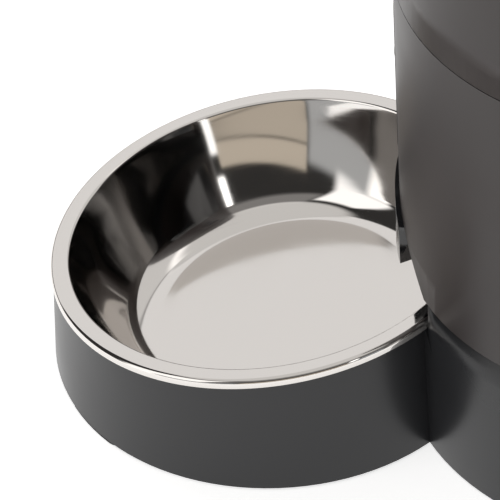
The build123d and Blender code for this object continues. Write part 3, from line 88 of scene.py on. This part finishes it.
class NodeBench:
    """A small bench for wiring one material's or world's nodes."""

    def __init__(self, tree: bpy.types.NodeTree) -> None:
        """Clear the tree and keep it.

        Args:
            tree: The node tree to fill.
        """
        self.tree = tree
        self.tree.nodes.clear()

    def add(self, kind: str, **settings: object) -> bpy.types.Node:
        """Add a node and set its attributes.

        Args:
            kind: The node's type name.
            **settings: Attributes of the node.

        Returns:
            The new node.
        """
        node = self.tree.nodes.new(kind)
        for key, value in settings.items():
            setattr(node, key, value)
        return node

    def link(self, out: bpy.types.NodeSocket, into: bpy.types.NodeSocket) -> None:
        """Join two sockets."""
        self.tree.links.new(out, into)

    def math(self, op: str, a: object, b: object = 0.0) -> bpy.types.NodeSocket:
        """Add a Math node.

        Args:
            op: The operation.
            a: First socket or number.
            b: Second socket or number.

        Returns:
            The result's socket.
        """
        node = self.add("ShaderNodeMath", operation=op)
        for i, value in enumerate((a, b)):
            if isinstance(value, (int, float)):
                node.inputs[i].default_value = value
            else:
                self.link(value, node.inputs[i])
        return node.outputs[0]

    def ramp(self, value: bpy.types.NodeSocket, lo: float, hi: float, a: float, b: float,
             smooth: bool = False) -> bpy.types.NodeSocket:
        """Map a value from lo..hi to a..b.

        Args:
            value: The socket to map.
            lo: Value that gives a.
            hi: Value that gives b.
            a: First result.
            b: Second result.
            smooth: Ease in and out.

        Returns:
            The mapped socket.
        """
        node = self.add("ShaderNodeMapRange")
        if smooth:
            node.interpolation_type = "SMOOTHSTEP"
        self.link(value, node.inputs["Value"])
        for key, number in (("From Min", lo), ("From Max", hi), ("To Min", a), ("To Max", b)):
            node.inputs[key].default_value = number
        return node.outputs[0]

    def noise(self, coords: bpy.types.NodeSocket, scale: float, detail: float = 2.0) -> bpy.types.NodeSocket:
        """Add a noise texture.

        Args:
            coords: Where it is read.
            scale: Cells per unit.
            detail: Octaves.

        Returns:
            The noise's value socket.
        """
        node = self.add("ShaderNodeTexNoise")
        node.inputs["Scale"].default_value = scale
        node.inputs["Detail"].default_value = detail
        self.link(coords, node.inputs["Vector"])
        return node.outputs["Fac"]

    def stretched(self, coords: bpy.types.NodeSocket, scale: Colour) -> bpy.types.NodeSocket:
        """Scale a coordinate differently along its three axes."""
        node = self.add("ShaderNodeMapping")
        node.inputs["Scale"].default_value = scale
        self.link(coords, node.inputs["Vector"])
        return node.outputs[0]


# ------------------------------------------------------------------ finishes


@dataclass(frozen=True)
class Finish:
    """One finish of the feeder: a base colour, a gloss and a worked surface."""

    slot: str
    base: Colour
    rough: float
    metal: float = 0.0
    grain: Grain = Grain.SPARK
    grain_size: float = 0.5 * MM
    relief: float = 0.05
    coat: float = 0.0
    mottle: float = 0.06
    sheen: float = 0.0

    def material(self) -> bpy.types.Material:
        """Build the finish, or fetch it where it has been built.

        Colour and gloss drift by a slow noise in the piece's own coordinates. A fine noise, squeezed
        along the height for turned metal, gives the relief.

        Returns:
            The material.
        """
        name = "finish_" + self.slot
        if name in bpy.data.materials:
            return bpy.data.materials[name]
        material = bpy.data.materials.new(name)
        material.use_nodes = True
        material.diffuse_color = (*self.base, 1.0)
        bench = NodeBench(material.node_tree)
        shader = bench.add("ShaderNodeBsdfPrincipled")
        out = bench.add("ShaderNodeOutputMaterial")
        bench.link(shader.outputs[0], out.inputs[0])
        shader.inputs["Metallic"].default_value = self.metal
        shader.inputs["Coat Weight"].default_value = self.coat
        shader.inputs["Coat Roughness"].default_value = 0.08
        shader.inputs["Sheen Weight"].default_value = self.sheen
        coords = bench.add("ShaderNodeTexCoord").outputs["Object"]
        drift = bench.noise(coords, 18.0)
        self._colour(bench, shader, drift)
        bench.link(bench.ramp(drift, 0.3, 0.7, self.rough * 0.88, self.rough * 1.12), shader.inputs["Roughness"])
        self._relief(bench, shader, coords)
        return material

    def _colour(self, bench: NodeBench, shader: bpy.types.Node, drift: bpy.types.NodeSocket) -> None:
        """Drift the base colour a little to each side."""
        mix = bench.add("ShaderNodeMix", data_type="RGBA")
        dark = tuple(c * (1 - self.mottle) for c in self.base)
        pale = tuple(min(1.0, c * (1 + self.mottle)) for c in self.base)
        mix.inputs["A"].default_value = (*dark, 1.0)
        mix.inputs["B"].default_value = (*pale, 1.0)
        bench.link(bench.ramp(drift, 0.35, 0.65, 0.0, 1.0), mix.inputs["Factor"])
        bench.link(mix.outputs["Result"], shader.inputs["Base Color"])

    def _relief(self, bench: NodeBench, shader: bpy.types.Node, coords: bpy.types.NodeSocket) -> None:
        """Give the surface its worked texture."""
        if self.grain is Grain.POLISH:
            return
        place = coords
        if self.grain is Grain.TURNED:
            place = bench.stretched(coords, (0.15, 0.15, 1.0))
        if self.grain is Grain.WOVEN:
            place = bench.stretched(coords, (1.0, 0.3, 1.0))
        bump = bench.add("ShaderNodeBump")
        bump.inputs["Strength"].default_value = self.relief
        bump.inputs["Distance"].default_value = 0.1 * MM
        bench.link(bench.noise(place, 1.0 / self.grain_size, 3.0), bump.inputs["Height"])
        bench.link(bump.outputs[0], shader.inputs["Normal"])


CHARCOAL_TOWER = Finish("tower_charcoal", (0.027, 0.0205, 0.0195), 0.40, relief=0.08)
CHARCOAL_BASE = Finish("base_charcoal", (0.012, 0.0125, 0.0145), 0.30, relief=0.06)
BLACK_GLOSS = Finish("black_gloss", (0.008, 0.008, 0.009), 0.12, grain=Grain.POLISH, coat=0.3)
BLACK_MATTE = Finish("black_matte", (0.018, 0.018, 0.020), 0.5, relief=0.15)
WHITE_PLASTIC = Finish("white_plastic", (0.70, 0.70, 0.68), 0.42)
FOOT_RUBBER = Finish("foot_rubber", (0.016, 0.016, 0.016), 0.75, relief=0.3)
SILICONE = Finish("silicone", (0.50, 0.51, 0.51), 0.55, sheen=0.1)
SCREW_STEEL = Finish("screw_steel", (0.58, 0.58, 0.60), 0.28, 1.0, Grain.TURNED)
SPRING_STEEL = Finish("spring_steel", (0.72, 0.72, 0.73), 0.2, 1.0, Grain.TURNED)
PINION_BRASS = Finish("pinion_brass", (0.72, 0.53, 0.26), 0.25, 1.0, Grain.TURNED)
MOTOR_CAN = Finish("motor_can", (0.45, 0.46, 0.48), 0.34, 0.9, Grain.TURNED)
CELL_WRAP = Finish("cell_wrap", (0.04, 0.08, 0.19), 0.22, grain=Grain.POLISH, coat=0.4)
BOARD_GREEN = Finish("board_green", (0.015, 0.11, 0.05), 0.3, coat=0.3)
LENS_SMOKE = Finish("lens_smoke", (0.008, 0.008, 0.010), 0.08, grain=Grain.POLISH, coat=0.5)
PACK_FABRIC = Finish("pack_fabric", (0.82, 0.82, 0.78), 0.8, grain=Grain.WOVEN, relief=0.4, sheen=0.3)
FINISHES = {f.slot: f for f in (
    CHARCOAL_TOWER, CHARCOAL_BASE, BLACK_GLOSS, BLACK_MATTE, WHITE_PLASTIC, FOOT_RUBBER,
    SILICONE, SCREW_STEEL, SPRING_STEEL, PINION_BRASS, MOTOR_CAN, CELL_WRAP, BOARD_GREEN,
    LENS_SMOKE, PACK_FABRIC)}


@dataclass(frozen=True)
class SpunSteel:
    """Polished stainless steel that was spun on a lathe, satin on the bowl's floor."""

    slot: str = "bowl_steel"
    base: Colour = (0.74, 0.712, 0.685)
    wall_rough: float = 0.065
    floor_rough: float = 0.085
    bump_strength: float = 0.012
    bump_depth: float = 0.05 * MM

    def material(self) -> bpy.types.Material:
        """Build the steel on the bowl's own UV map and its burnish attribute.

        Burnish is 0 on the mirror-bright wall and 1 on the satin floor and sets the roughness. Spin
        lines are a noise squeezed across the profile and drawn out round the axis.

        Returns:
            The material.
        """
        material = bpy.data.materials.new("finish_" + self.slot)
        material.use_nodes = True
        material.diffuse_color = (*self.base, 1.0)
        bench = NodeBench(material.node_tree)
        shader = bench.add("ShaderNodeBsdfPrincipled")
        out = bench.add("ShaderNodeOutputMaterial")
        bench.link(shader.outputs[0], out.inputs[0])
        shader.inputs["Metallic"].default_value = 1.0
        shader.inputs["Base Color"].default_value = (*self.base, 1.0)
        around = bench.add("ShaderNodeUVMap", uv_map="spin").outputs[0]
        lines = bench.noise(bench.stretched(around, (5.0, 2600.0, 1.0)), 1.0, 3.0)
        smudge = bench.noise(bench.stretched(around, (14.0, 60.0, 1.0)), 1.0, 2.0)
        burnish = bench.add("ShaderNodeAttribute", attribute_name="burnish").outputs["Fac"]
        rough = bench.ramp(burnish, 0.0, 1.0, self.wall_rough, self.floor_rough)
        rough = bench.math("ADD", rough, bench.ramp(lines, 0.3, 0.7, -0.012, 0.02))
        rough = bench.math("ADD", rough, bench.ramp(smudge, 0.35, 0.65, -0.012, 0.018))
        bench.link(rough, shader.inputs["Roughness"])
        bump = bench.add("ShaderNodeBump")
        bump.inputs["Strength"].default_value = self.bump_strength
        bump.inputs["Distance"].default_value = self.bump_depth
        bench.link(lines, bump.inputs["Height"])
        bench.link(bump.outputs[0], shader.inputs["Normal"])
        return material


# ------------------------------------------------------------------ surfaces


def rounded_outline(corners: list[tuple[float, float, float]], steps: int = 10) -> np.ndarray:
    """Outline through corners, each replaced by an arc of its own radius.

    The arc touches both edges at r / tan(half the corner's angle) from the corner, and its centre
    lies on the corner's bisector.

    Args:
        corners: (x, y, radius) of each corner in order. The two ends have radius 0.
        steps: Points in each arc.

    Returns:
        Points of the outline, one row each.
    """
    points = [np.array(corners[0][:2])]
    for before, here, after in zip(corners, corners[1:], corners[2:]):
        p, radius = np.array(here[:2]), here[2]
        a, b = np.array(before[:2]) - p, np.array(after[:2]) - p
        a, b = a / np.linalg.norm(a), b / np.linalg.norm(b)
        half = 0.5 * math.acos(float(np.clip(a @ b, -1, 1)))
        if radius <= 0:
            points.append(p)
            continue
        centre = p + (a + b) / np.linalg.norm(a + b) * radius / math.sin(half)
        start = p + a * radius / math.tan(half) - centre
        end = p + b * radius / math.tan(half) - centre
        turn = math.atan2(start[0] * end[1] - start[1] * end[0], float(start @ end))
        t = np.linspace(0, turn, steps)
        cos, sin = np.cos(t), np.sin(t)
        arc = np.stack([start[0] * cos - start[1] * sin, start[0] * sin + start[1] * cos], 1)
        points.extend(centre + arc)
    points.append(np.array(corners[-1][:2]))
    return np.array(points)


def divided(outline: np.ndarray, longest: float) -> np.ndarray:
    """Add points so that no run of an outline is longer than a length."""
    runs = np.linalg.norm(np.diff(outline, axis=0), axis=1)
    kept = [outline[:1]]
    for a, b, run in zip(outline, outline[1:], runs):
        share = np.linspace(0, 1, max(2, int(math.ceil(run / longest)) + 1))[1:, None]
        kept.append(a + (b - a) * share)
    return np.vstack(kept)


def revolved(name: str, outline: np.ndarray, place: Matrix, sides: int = 256) -> bpy.types.Object:
    """Closed surface of revolution: the point (r, h) goes to (r cos a, r sin a, h), then to its place.

    Args:
        name: The object's name.
        outline: Radius and height of each point, from pole to pole.
        place: Where the axis stands.
        sides: Steps round the axis.

    Returns:
        The object, with a UV map "spin": turn share, and length along the outline in metres.
    """
    count = len(outline)
    angle = np.linspace(0, 2 * math.pi, sides, endpoint=False)
    r, h = outline[1:-1, 0], outline[1:-1, 1]
    ring = np.stack([np.outer(np.cos(angle), r), np.outer(np.sin(angle), r), np.tile(h, (sides, 1))], 2)
    poles = np.array([[0, 0, outline[0, 1]], [0, 0, outline[-1, 1]]])
    points = np.vstack([ring.reshape(-1, 3), poles])
    turn = np.array(place.to_3x3())
    points = points @ turn.T + np.array(place.translation)
    wide = count - 2
    i, j = np.meshgrid(np.arange(sides), np.arange(wide - 1), indexing="ij")
    k = (i + 1) % sides
    quads = np.stack([i * wide + j, k * wide + j, k * wide + j + 1, i * wide + j + 1], 2).reshape(-1, 4)
    first, last = sides * wide, sides * wide + 1
    s = np.arange(sides)
    t = (s + 1) % sides
    low = np.stack([np.full(sides, first), t * wide, s * wide], 1)
    high = np.stack([np.full(sides, last), s * wide + wide - 1, t * wide + wide - 1], 1)
    mesh = bpy.data.meshes.new(name)
    mesh.from_pydata(points.tolist(), [], quads.tolist() + low.tolist() + high.tolist())
    length = np.concatenate([[0], np.cumsum(np.linalg.norm(np.diff(outline, axis=0), axis=1))])
    u = np.stack([i, i + 1, i + 1, i], 2).reshape(-1) / sides
    v = length[1:-1][np.stack([j, j, j + 1, j + 1], 2).reshape(-1)]
    cap_u = np.stack([s + 0.5, s + 1, s], 1).reshape(-1) / sides
    cap_v = np.tile([length[0], length[1], length[1]], sides)
    end_u = np.stack([s + 0.5, s, s + 1], 1).reshape(-1) / sides
    end_v = np.tile([length[-1], length[-2], length[-2]], sides)
    uv = np.stack([np.concatenate([u, cap_u, end_u]), np.concatenate([v, cap_v, end_v])], 1)
    mesh.uv_layers.new(name="spin").data.foreach_set("uv", uv.astype(np.float32).reshape(-1))
    mesh.polygons.foreach_set("use_smooth", np.ones(len(mesh.polygons), bool))
    mesh.update()
    piece = bpy.data.objects.new(name, mesh)
    bpy.context.scene.collection.objects.link(piece)
    return piece


def smoothed_twin(node: str, sharp_deg: float = 30.0) -> bpy.types.Object:
    """Copy of a solid's mesh with its triangles joined and its gentle edges shaded smooth.

    Args:
        node: The solid's name.
        sharp_deg: Edges that turn by more than this stay crisp.

    Returns:
        The copy, which replaces the solid and rides on its body.
    """
    solid = frame["nodes"][node]
    mesh = solid.data.copy()
    mesh.name = node + "_skin"
    twin = bpy.data.objects.new(node + "_skin", mesh)
    bpy.context.scene.collection.objects.link(twin)
    join = twin.modifiers.new("join", "WELD")
    join.merge_threshold = WELD_REACH
    graph = bpy.context.evaluated_depsgraph_get()
    joined = bpy.data.meshes.new_from_object(twin.evaluated_get(graph))
    twin.modifiers.clear()
    twin.data = joined
    joined.polygons.foreach_set("use_smooth", np.ones(len(joined.polygons), bool))
    joined.set_sharp_from_angle(angle=math.radians(sharp_deg))
    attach(twin, solid["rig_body"])
    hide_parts(node)
    return twin


def dress(piece: bpy.types.Object, material: bpy.types.Material, slot: str) -> None:
    """Give a piece its one material and say which slot it stands for."""
    piece.data.materials.clear()
    piece.data.materials.append(material)
    log.info("%s: %s, %d faces", piece.name, slot, len(piece.data.polygons))


# ------------------------------------------------------------------ sub-assemblies


@dataclass
class SteelBowl:
    """The feeding bowl: a spun cup with a flat rim that is turned down at its edge.

    Lengths are in millimetres, in the rim's own frame: radius, and height above the rim's face.
    """

    tilt_deg: float = 7.19
    rim_z: float = 54.4
    rim_r: float = 85.05
    mouth_r: float = 77.9
    floor_r: float = 58.0
    depth: float = 41.0
    steel: float = 0.8
    rim_drop: float = 3.6
    rim_bend: float = 2.0
    floor_bend: float = 15.0
    belly: float = 2.0
    belly_bend: float = 130.0
    disc_r: float = 28.6
    dish: float = 1.4
    dish_bend: float = 600.0
    mouth_bend: float = 1.4
    edge_bend: float = 0.3  # both corners of the rim's turned-down edge
    longest_run: float = 2.5  # between points of the outline
    arc_steps: int = 14
    sides: int = 256
    satin_inset: float = 1.0  # satin ends this far inside the floor's corner
    satin_fade: float = 4.0  # width over which it fades
    satin_share: float = 0.85  # share of the depth below which the steel can be satin

    def place(self) -> Matrix:
        """Where the bowl's axis stands: its rim's middle, leaning towards the low side.

        Returns:
            The rim's frame in metres.
        """
        low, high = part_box("bowl")
        lean = math.radians(self.tilt_deg)
        reach = self.rim_r * math.cos(lean) * MM
        middle = Vector((0.0, high.y - reach, self.rim_z * MM))
        return Matrix.Translation(middle) @ Matrix.Rotation(lean, 4, "X")

    def outline(self) -> np.ndarray:
        """Outline from the floor's middle, up the inside, over the rim and back under.

        Returns:
            Radius and height in millimetres.
        """
        lean = (self.mouth_r - self.floor_r) / self.depth
        out = self.steel * (math.hypot(1, lean) - lean)
        under = self.rim_r - self.steel
        middle = 0.5 * (self.floor_r + self.mouth_r) + self.belly
        corners = [
            (0, -self.depth, 0),
            (self.disc_r, -self.depth, self.dish_bend),
            (self.floor_r, -self.depth + self.dish, self.floor_bend),
            (middle, -0.5 * self.depth, self.belly_bend),
            (self.mouth_r, 0, self.mouth_bend),
            (self.rim_r, 0, self.rim_bend),
            (self.rim_r, -self.rim_drop, self.edge_bend),
            (under, -self.rim_drop, self.edge_bend),
            (under, -self.steel, self.rim_bend - self.steel),
            (self.mouth_r + out, -self.steel, self.steel),
            (middle + out, -0.5 * self.depth, self.belly_bend),
            (self.floor_r + out, -self.depth + self.dish - self.steel, self.floor_bend + self.steel),
            (self.disc_r, -self.depth - self.steel, self.dish_bend),
            (0, -self.depth - self.steel, 0),
        ]
        return divided(rounded_outline(corners, self.arc_steps), self.longest_run)

    def build(self) -> bpy.types.Object:
        """Make the bowl and polish it.

        Returns:
            The bowl.
        """
        outline = self.outline()
        piece = revolved("bowl_shell", outline * MM, self.place(), self.sides)
        radius, height = outline[1:-1, 0], outline[1:-1, 1]
        satin = np.clip((self.floor_r - self.satin_inset - radius) / self.satin_fade, 0, 1)
        satin = np.where(height > -self.satin_share * self.depth, 0.0, satin)
        burnish = np.concatenate([np.tile(satin, self.sides), [1.0, 1.0]])
        mark = piece.data.attributes.new("burnish", "FLOAT", "POINT")
        mark.data.foreach_set("value", burnish.astype(np.float32))
        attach(piece, "bowl")
        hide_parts("bowl")
        dress(piece, SpunSteel().material(), "bowl_steel")
        return piece


@dataclass
class Housings:
    """The moulded outer pieces, as smoothed twins of their solids."""

    nodes: tuple[str, ...] = (
        "base_housing", "tower_body", "tank", "lid", "lid_liner", "chute", "control_panel", "lock_knob",
        "bottom_cover", "rubber_feet", "feed_button", "up_button", "down_button", "rotor", "rotor_housing",
        "desiccant_box", "agitator",
    )

    def build(self, slots: dict[str, str]) -> None:
        """Make and dress the twins.

        Args:
            slots: The material slot of each node.
        """
        for node in self.nodes:
            dress(smoothed_twin(node), FINISHES[slots[node]].material(), slots[node])


@dataclass
class Workings:
    """Every solid that keeps its own mesh: drive, board, cells, screws, seals and cover pieces."""

    def build(self, slots: dict[str, str]) -> None:
        """Dress each solid that nothing replaces.

        Args:
            slots: The material slot of each node.
        """
        for node, solid in frame["nodes"].items():
            if not solid.hide_render:
                dress(solid, FINISHES[slots[node]].material(), slots[node])


# ------------------------------------------------------------------ studio


@dataclass(frozen=True)
class SoftBox:
    """A soft light or a window far away, as a patch of the sky round the feeder, in degrees."""

    name: str
    azimuth: float
    elevation: float
    half_width: float
    half_height: float
    power: float
    tint: Colour = (1.0, 1.0, 1.0)
    edge: float = 4.0


STUDIO = (
    SoftBox("key", -66, 34, 42, 24, 0.86, (1.0, 0.99, 0.985), 2.0),
    SoftBox("left_wall", -146, 38, 36, 26, 0.70, (1.0, 0.985, 0.97), 4),
    SoftBox("overhead", 0, 76, 180, 18, 0.68, (1.0, 0.985, 0.965), 3),
    SoftBox("camera_side_high", 105, 47, 45, 12, 0.22, (1.0, 0.97, 0.95), 6),
    SoftBox("window_low", 102, 5.8, 25, 3.7, 0.50, (1.0, 0.88, 0.72), 0.8),
    SoftBox("window_high", 102, 14.6, 25, 4.4, 0.56, (1.0, 0.88, 0.72), 0.8),
    SoftBox("strip", 129, 28, 2.2, 6, 2.8, (1.0, 1.0, 0.99), 1.0),
    SoftBox("strip_low", 129, 11, 2.0, 3, 1.6, (1.0, 1.0, 0.99), 1.0),
    SoftBox("grey_wall", 57, 7, 19, 9, 0.44, (0.97, 0.99, 1.0), 2),
    SoftBox("side_strip", 30, 4, 8, 10, 1.6, (1.0, 0.985, 0.965), 3),
    SoftBox("side_high", 38, 33, 20, 18, 1.4, (1.0, 0.99, 0.98), 3),
    SoftBox("far_wall", 155, 14, 8, 10, 0.45, (1.0, 0.98, 0.95), 4),
    SoftBox("blue_wall", 138, 14, 6, 10, 0.46, (0.90, 0.96, 1.0), 2),
)


@dataclass
class Studio:
    """Pale floor, soft lights and the camera."""

    lens_mm: float = 252.0
    camera_at: Vector = Vector((0.97337, 0.12454, 0.90759))
    azimuth: float = 1.785587
    elevation: float = 0.715158
    roll: float = -0.060955
    sensor_mm: float = 36.0
    gloom: float = 0.035  # light of the sky between the soft boxes
    floor_half: float = 30.0  # metres from the feeder to the floor's edge
    floor_white: Colour = (0.93, 0.93, 0.93)
    floor_glow: float = 0.72
    backdrop_glow: float = 0.95

    def floor(self) -> None:
        """Lay a wide pale floor that glows a little, so that it stays pale under the soft lights."""
        size = self.floor_half
        mesh = bpy.data.meshes.new("floor")
        corners = [(-size, -size, 0), (size, -size, 0), (size, size, 0), (-size, size, 0)]
        mesh.from_pydata(corners, [], [(0, 1, 2, 3)])
        floor = bpy.data.objects.new("floor", mesh)
        bpy.context.scene.collection.objects.link(floor)
        material = bpy.data.materials.new("floor_pale")
        material.use_nodes = True
        shader = material.node_tree.nodes["Principled BSDF"]
        shader.inputs["Base Color"].default_value = (*self.floor_white, 1.0)
        shader.inputs["Roughness"].default_value = 0.8
        shader.inputs["Specular IOR Level"].default_value = 0.1
        shader.inputs["Emission Color"].default_value = (1, 1, 1, 1)
        shader.inputs["Emission Strength"].default_value = self.floor_glow
        mesh.materials.append(material)

    def backdrop(self) -> None:
        """Stand a pale shell far behind, which only the camera sees."""
        outline = np.array([(0.0, -20.0), (14.0, -14.0), (20.0, 0.0), (14.0, 14.0), (0.0, 20.0)])
        shell = revolved("backdrop", outline, Matrix.Identity(4), 48)
        material = bpy.data.materials.new("backdrop_pale")
        material.use_nodes = True
        bench = NodeBench(material.node_tree)
        glow = bench.add("ShaderNodeEmission")
        glow.inputs["Strength"].default_value = self.backdrop_glow
        out = bench.add("ShaderNodeOutputMaterial")
        bench.link(glow.outputs[0], out.inputs[0])
        shell.data.materials.append(material)
        for ray in ("diffuse", "glossy", "transmission", "shadow", "volume_scatter"):
            setattr(shell, "visible_" + ray, False)

    def light(self) -> None:
        """Paint the soft boxes on a dim sky.

        Each box is the product of two smooth steps, one of how far a direction's azimuth is from the
        box's, the other of its elevation. Directions are read as azimuth and elevation.
        """
        world = bpy.data.worlds.new("studio")
        world.use_nodes = True
        bpy.context.scene.world = world
        bench = NodeBench(world.node_tree)
        way = bench.add("ShaderNodeSeparateXYZ")
        bench.link(bench.add("ShaderNodeTexCoord").outputs["Generated"], way.inputs[0])
        x, y, z = way.outputs
        azimuth = bench.math("MULTIPLY", bench.math("ARCTAN2", x, bench.math("MULTIPLY", y, -1.0)), 180 / math.pi)
        elevation = bench.math("MULTIPLY", bench.math("ARCSINE", z), 180 / math.pi)
        total = None
        for box in STUDIO:
            off = self._turn_from(bench, azimuth, box.azimuth)
            rise = bench.math("ABSOLUTE", bench.math("SUBTRACT", elevation, box.elevation))
            across = bench.ramp(off, box.half_width - box.edge, box.half_width + box.edge, 1.0, 0.0, True)
            upright = bench.ramp(rise, box.half_height - box.edge, box.half_height + box.edge, box.power, 0.0, True)
            share = bench.math("MULTIPLY", across, upright)
            tint = bench.add("ShaderNodeVectorMath", operation="SCALE")
            tint.inputs[0].default_value = box.tint
            bench.link(share, tint.inputs["Scale"])
            if total is None:
                total = tint.outputs[0]
            else:
                both = bench.add("ShaderNodeVectorMath", operation="ADD")
                bench.link(total, both.inputs[0])
                bench.link(tint.outputs[0], both.inputs[1])
                total = both.outputs[0]
        both = bench.add("ShaderNodeVectorMath", operation="ADD")
        both.inputs[1].default_value = (self.gloom, self.gloom * 0.97, self.gloom * 0.94)
        bench.link(total, both.inputs[0])
        sky = bench.add("ShaderNodeBackground")
        bench.link(both.outputs[0], sky.inputs["Color"])
        out = bench.add("ShaderNodeOutputWorld")
        bench.link(sky.outputs[0], out.inputs[0])

    @staticmethod
    def _turn_from(bench: NodeBench, azimuth: bpy.types.NodeSocket, middle: float) -> bpy.types.NodeSocket:
        """Smallest turn, in degrees, between a direction's azimuth and a box's.

        Args:
            bench: The world's bench.
            azimuth: The direction's azimuth.
            middle: The box's azimuth.

        Returns:
            The turn, from 0 to 180.
        """
        wrap = bench.add("ShaderNodeMath", operation="WRAP")
        bench.link(bench.math("SUBTRACT", azimuth, middle), wrap.inputs[0])
        wrap.inputs[1].default_value = 180.0
        wrap.inputs[2].default_value = -180.0
        return bench.math("ABSOLUTE", wrap.outputs[0])

    def camera(self) -> None:
        """Set up the camera: a long lens that looks down on the bowl, a little rolled."""
        data = bpy.data.cameras.new("camera")
        data.lens = self.lens_mm
        data.sensor_width = self.sensor_mm
        data.clip_start = 0.05
        data.clip_end = 100.0
        camera = bpy.data.objects.new("camera", data)
        bpy.context.scene.collection.objects.link(camera)
        flat = math.cos(self.elevation)
        ahead = -Vector((math.sin(self.azimuth) * flat, -math.cos(self.azimuth) * flat, math.sin(self.elevation)))
        right = ahead.cross(Vector((0, 0, 1))).normalized()
        above = right.cross(ahead)
        right_r = right * math.cos(self.roll) + above * math.sin(self.roll)
        above_r = above * math.cos(self.roll) - right * math.sin(self.roll)
        turn = Matrix((right_r, above_r, -ahead)).transposed().to_4x4()
        camera.matrix_world = Matrix.Translation(self.camera_at) @ turn
        bpy.context.scene.camera = camera

    def build(self) -> None:
        """Make the floor, the lights and the camera."""
        self.floor()
        self.backdrop()
        self.light()
        self.camera()
        bpy.context.scene.view_settings.view_transform = "Standard"


def main() -> None:
    """Build every sub-assembly, then the studio."""
    logging.basicConfig(level=logging.INFO, format="%(name)s %(message)s")
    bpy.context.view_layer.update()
    slots = {row["node"]: row["material_slot"] for row in frame["record"]["subparts"]}
    SteelBowl().build()
    Housings().build(slots)
    Workings().build(slots)
    Studio().build()


if __name__ == "__main__":
    main()
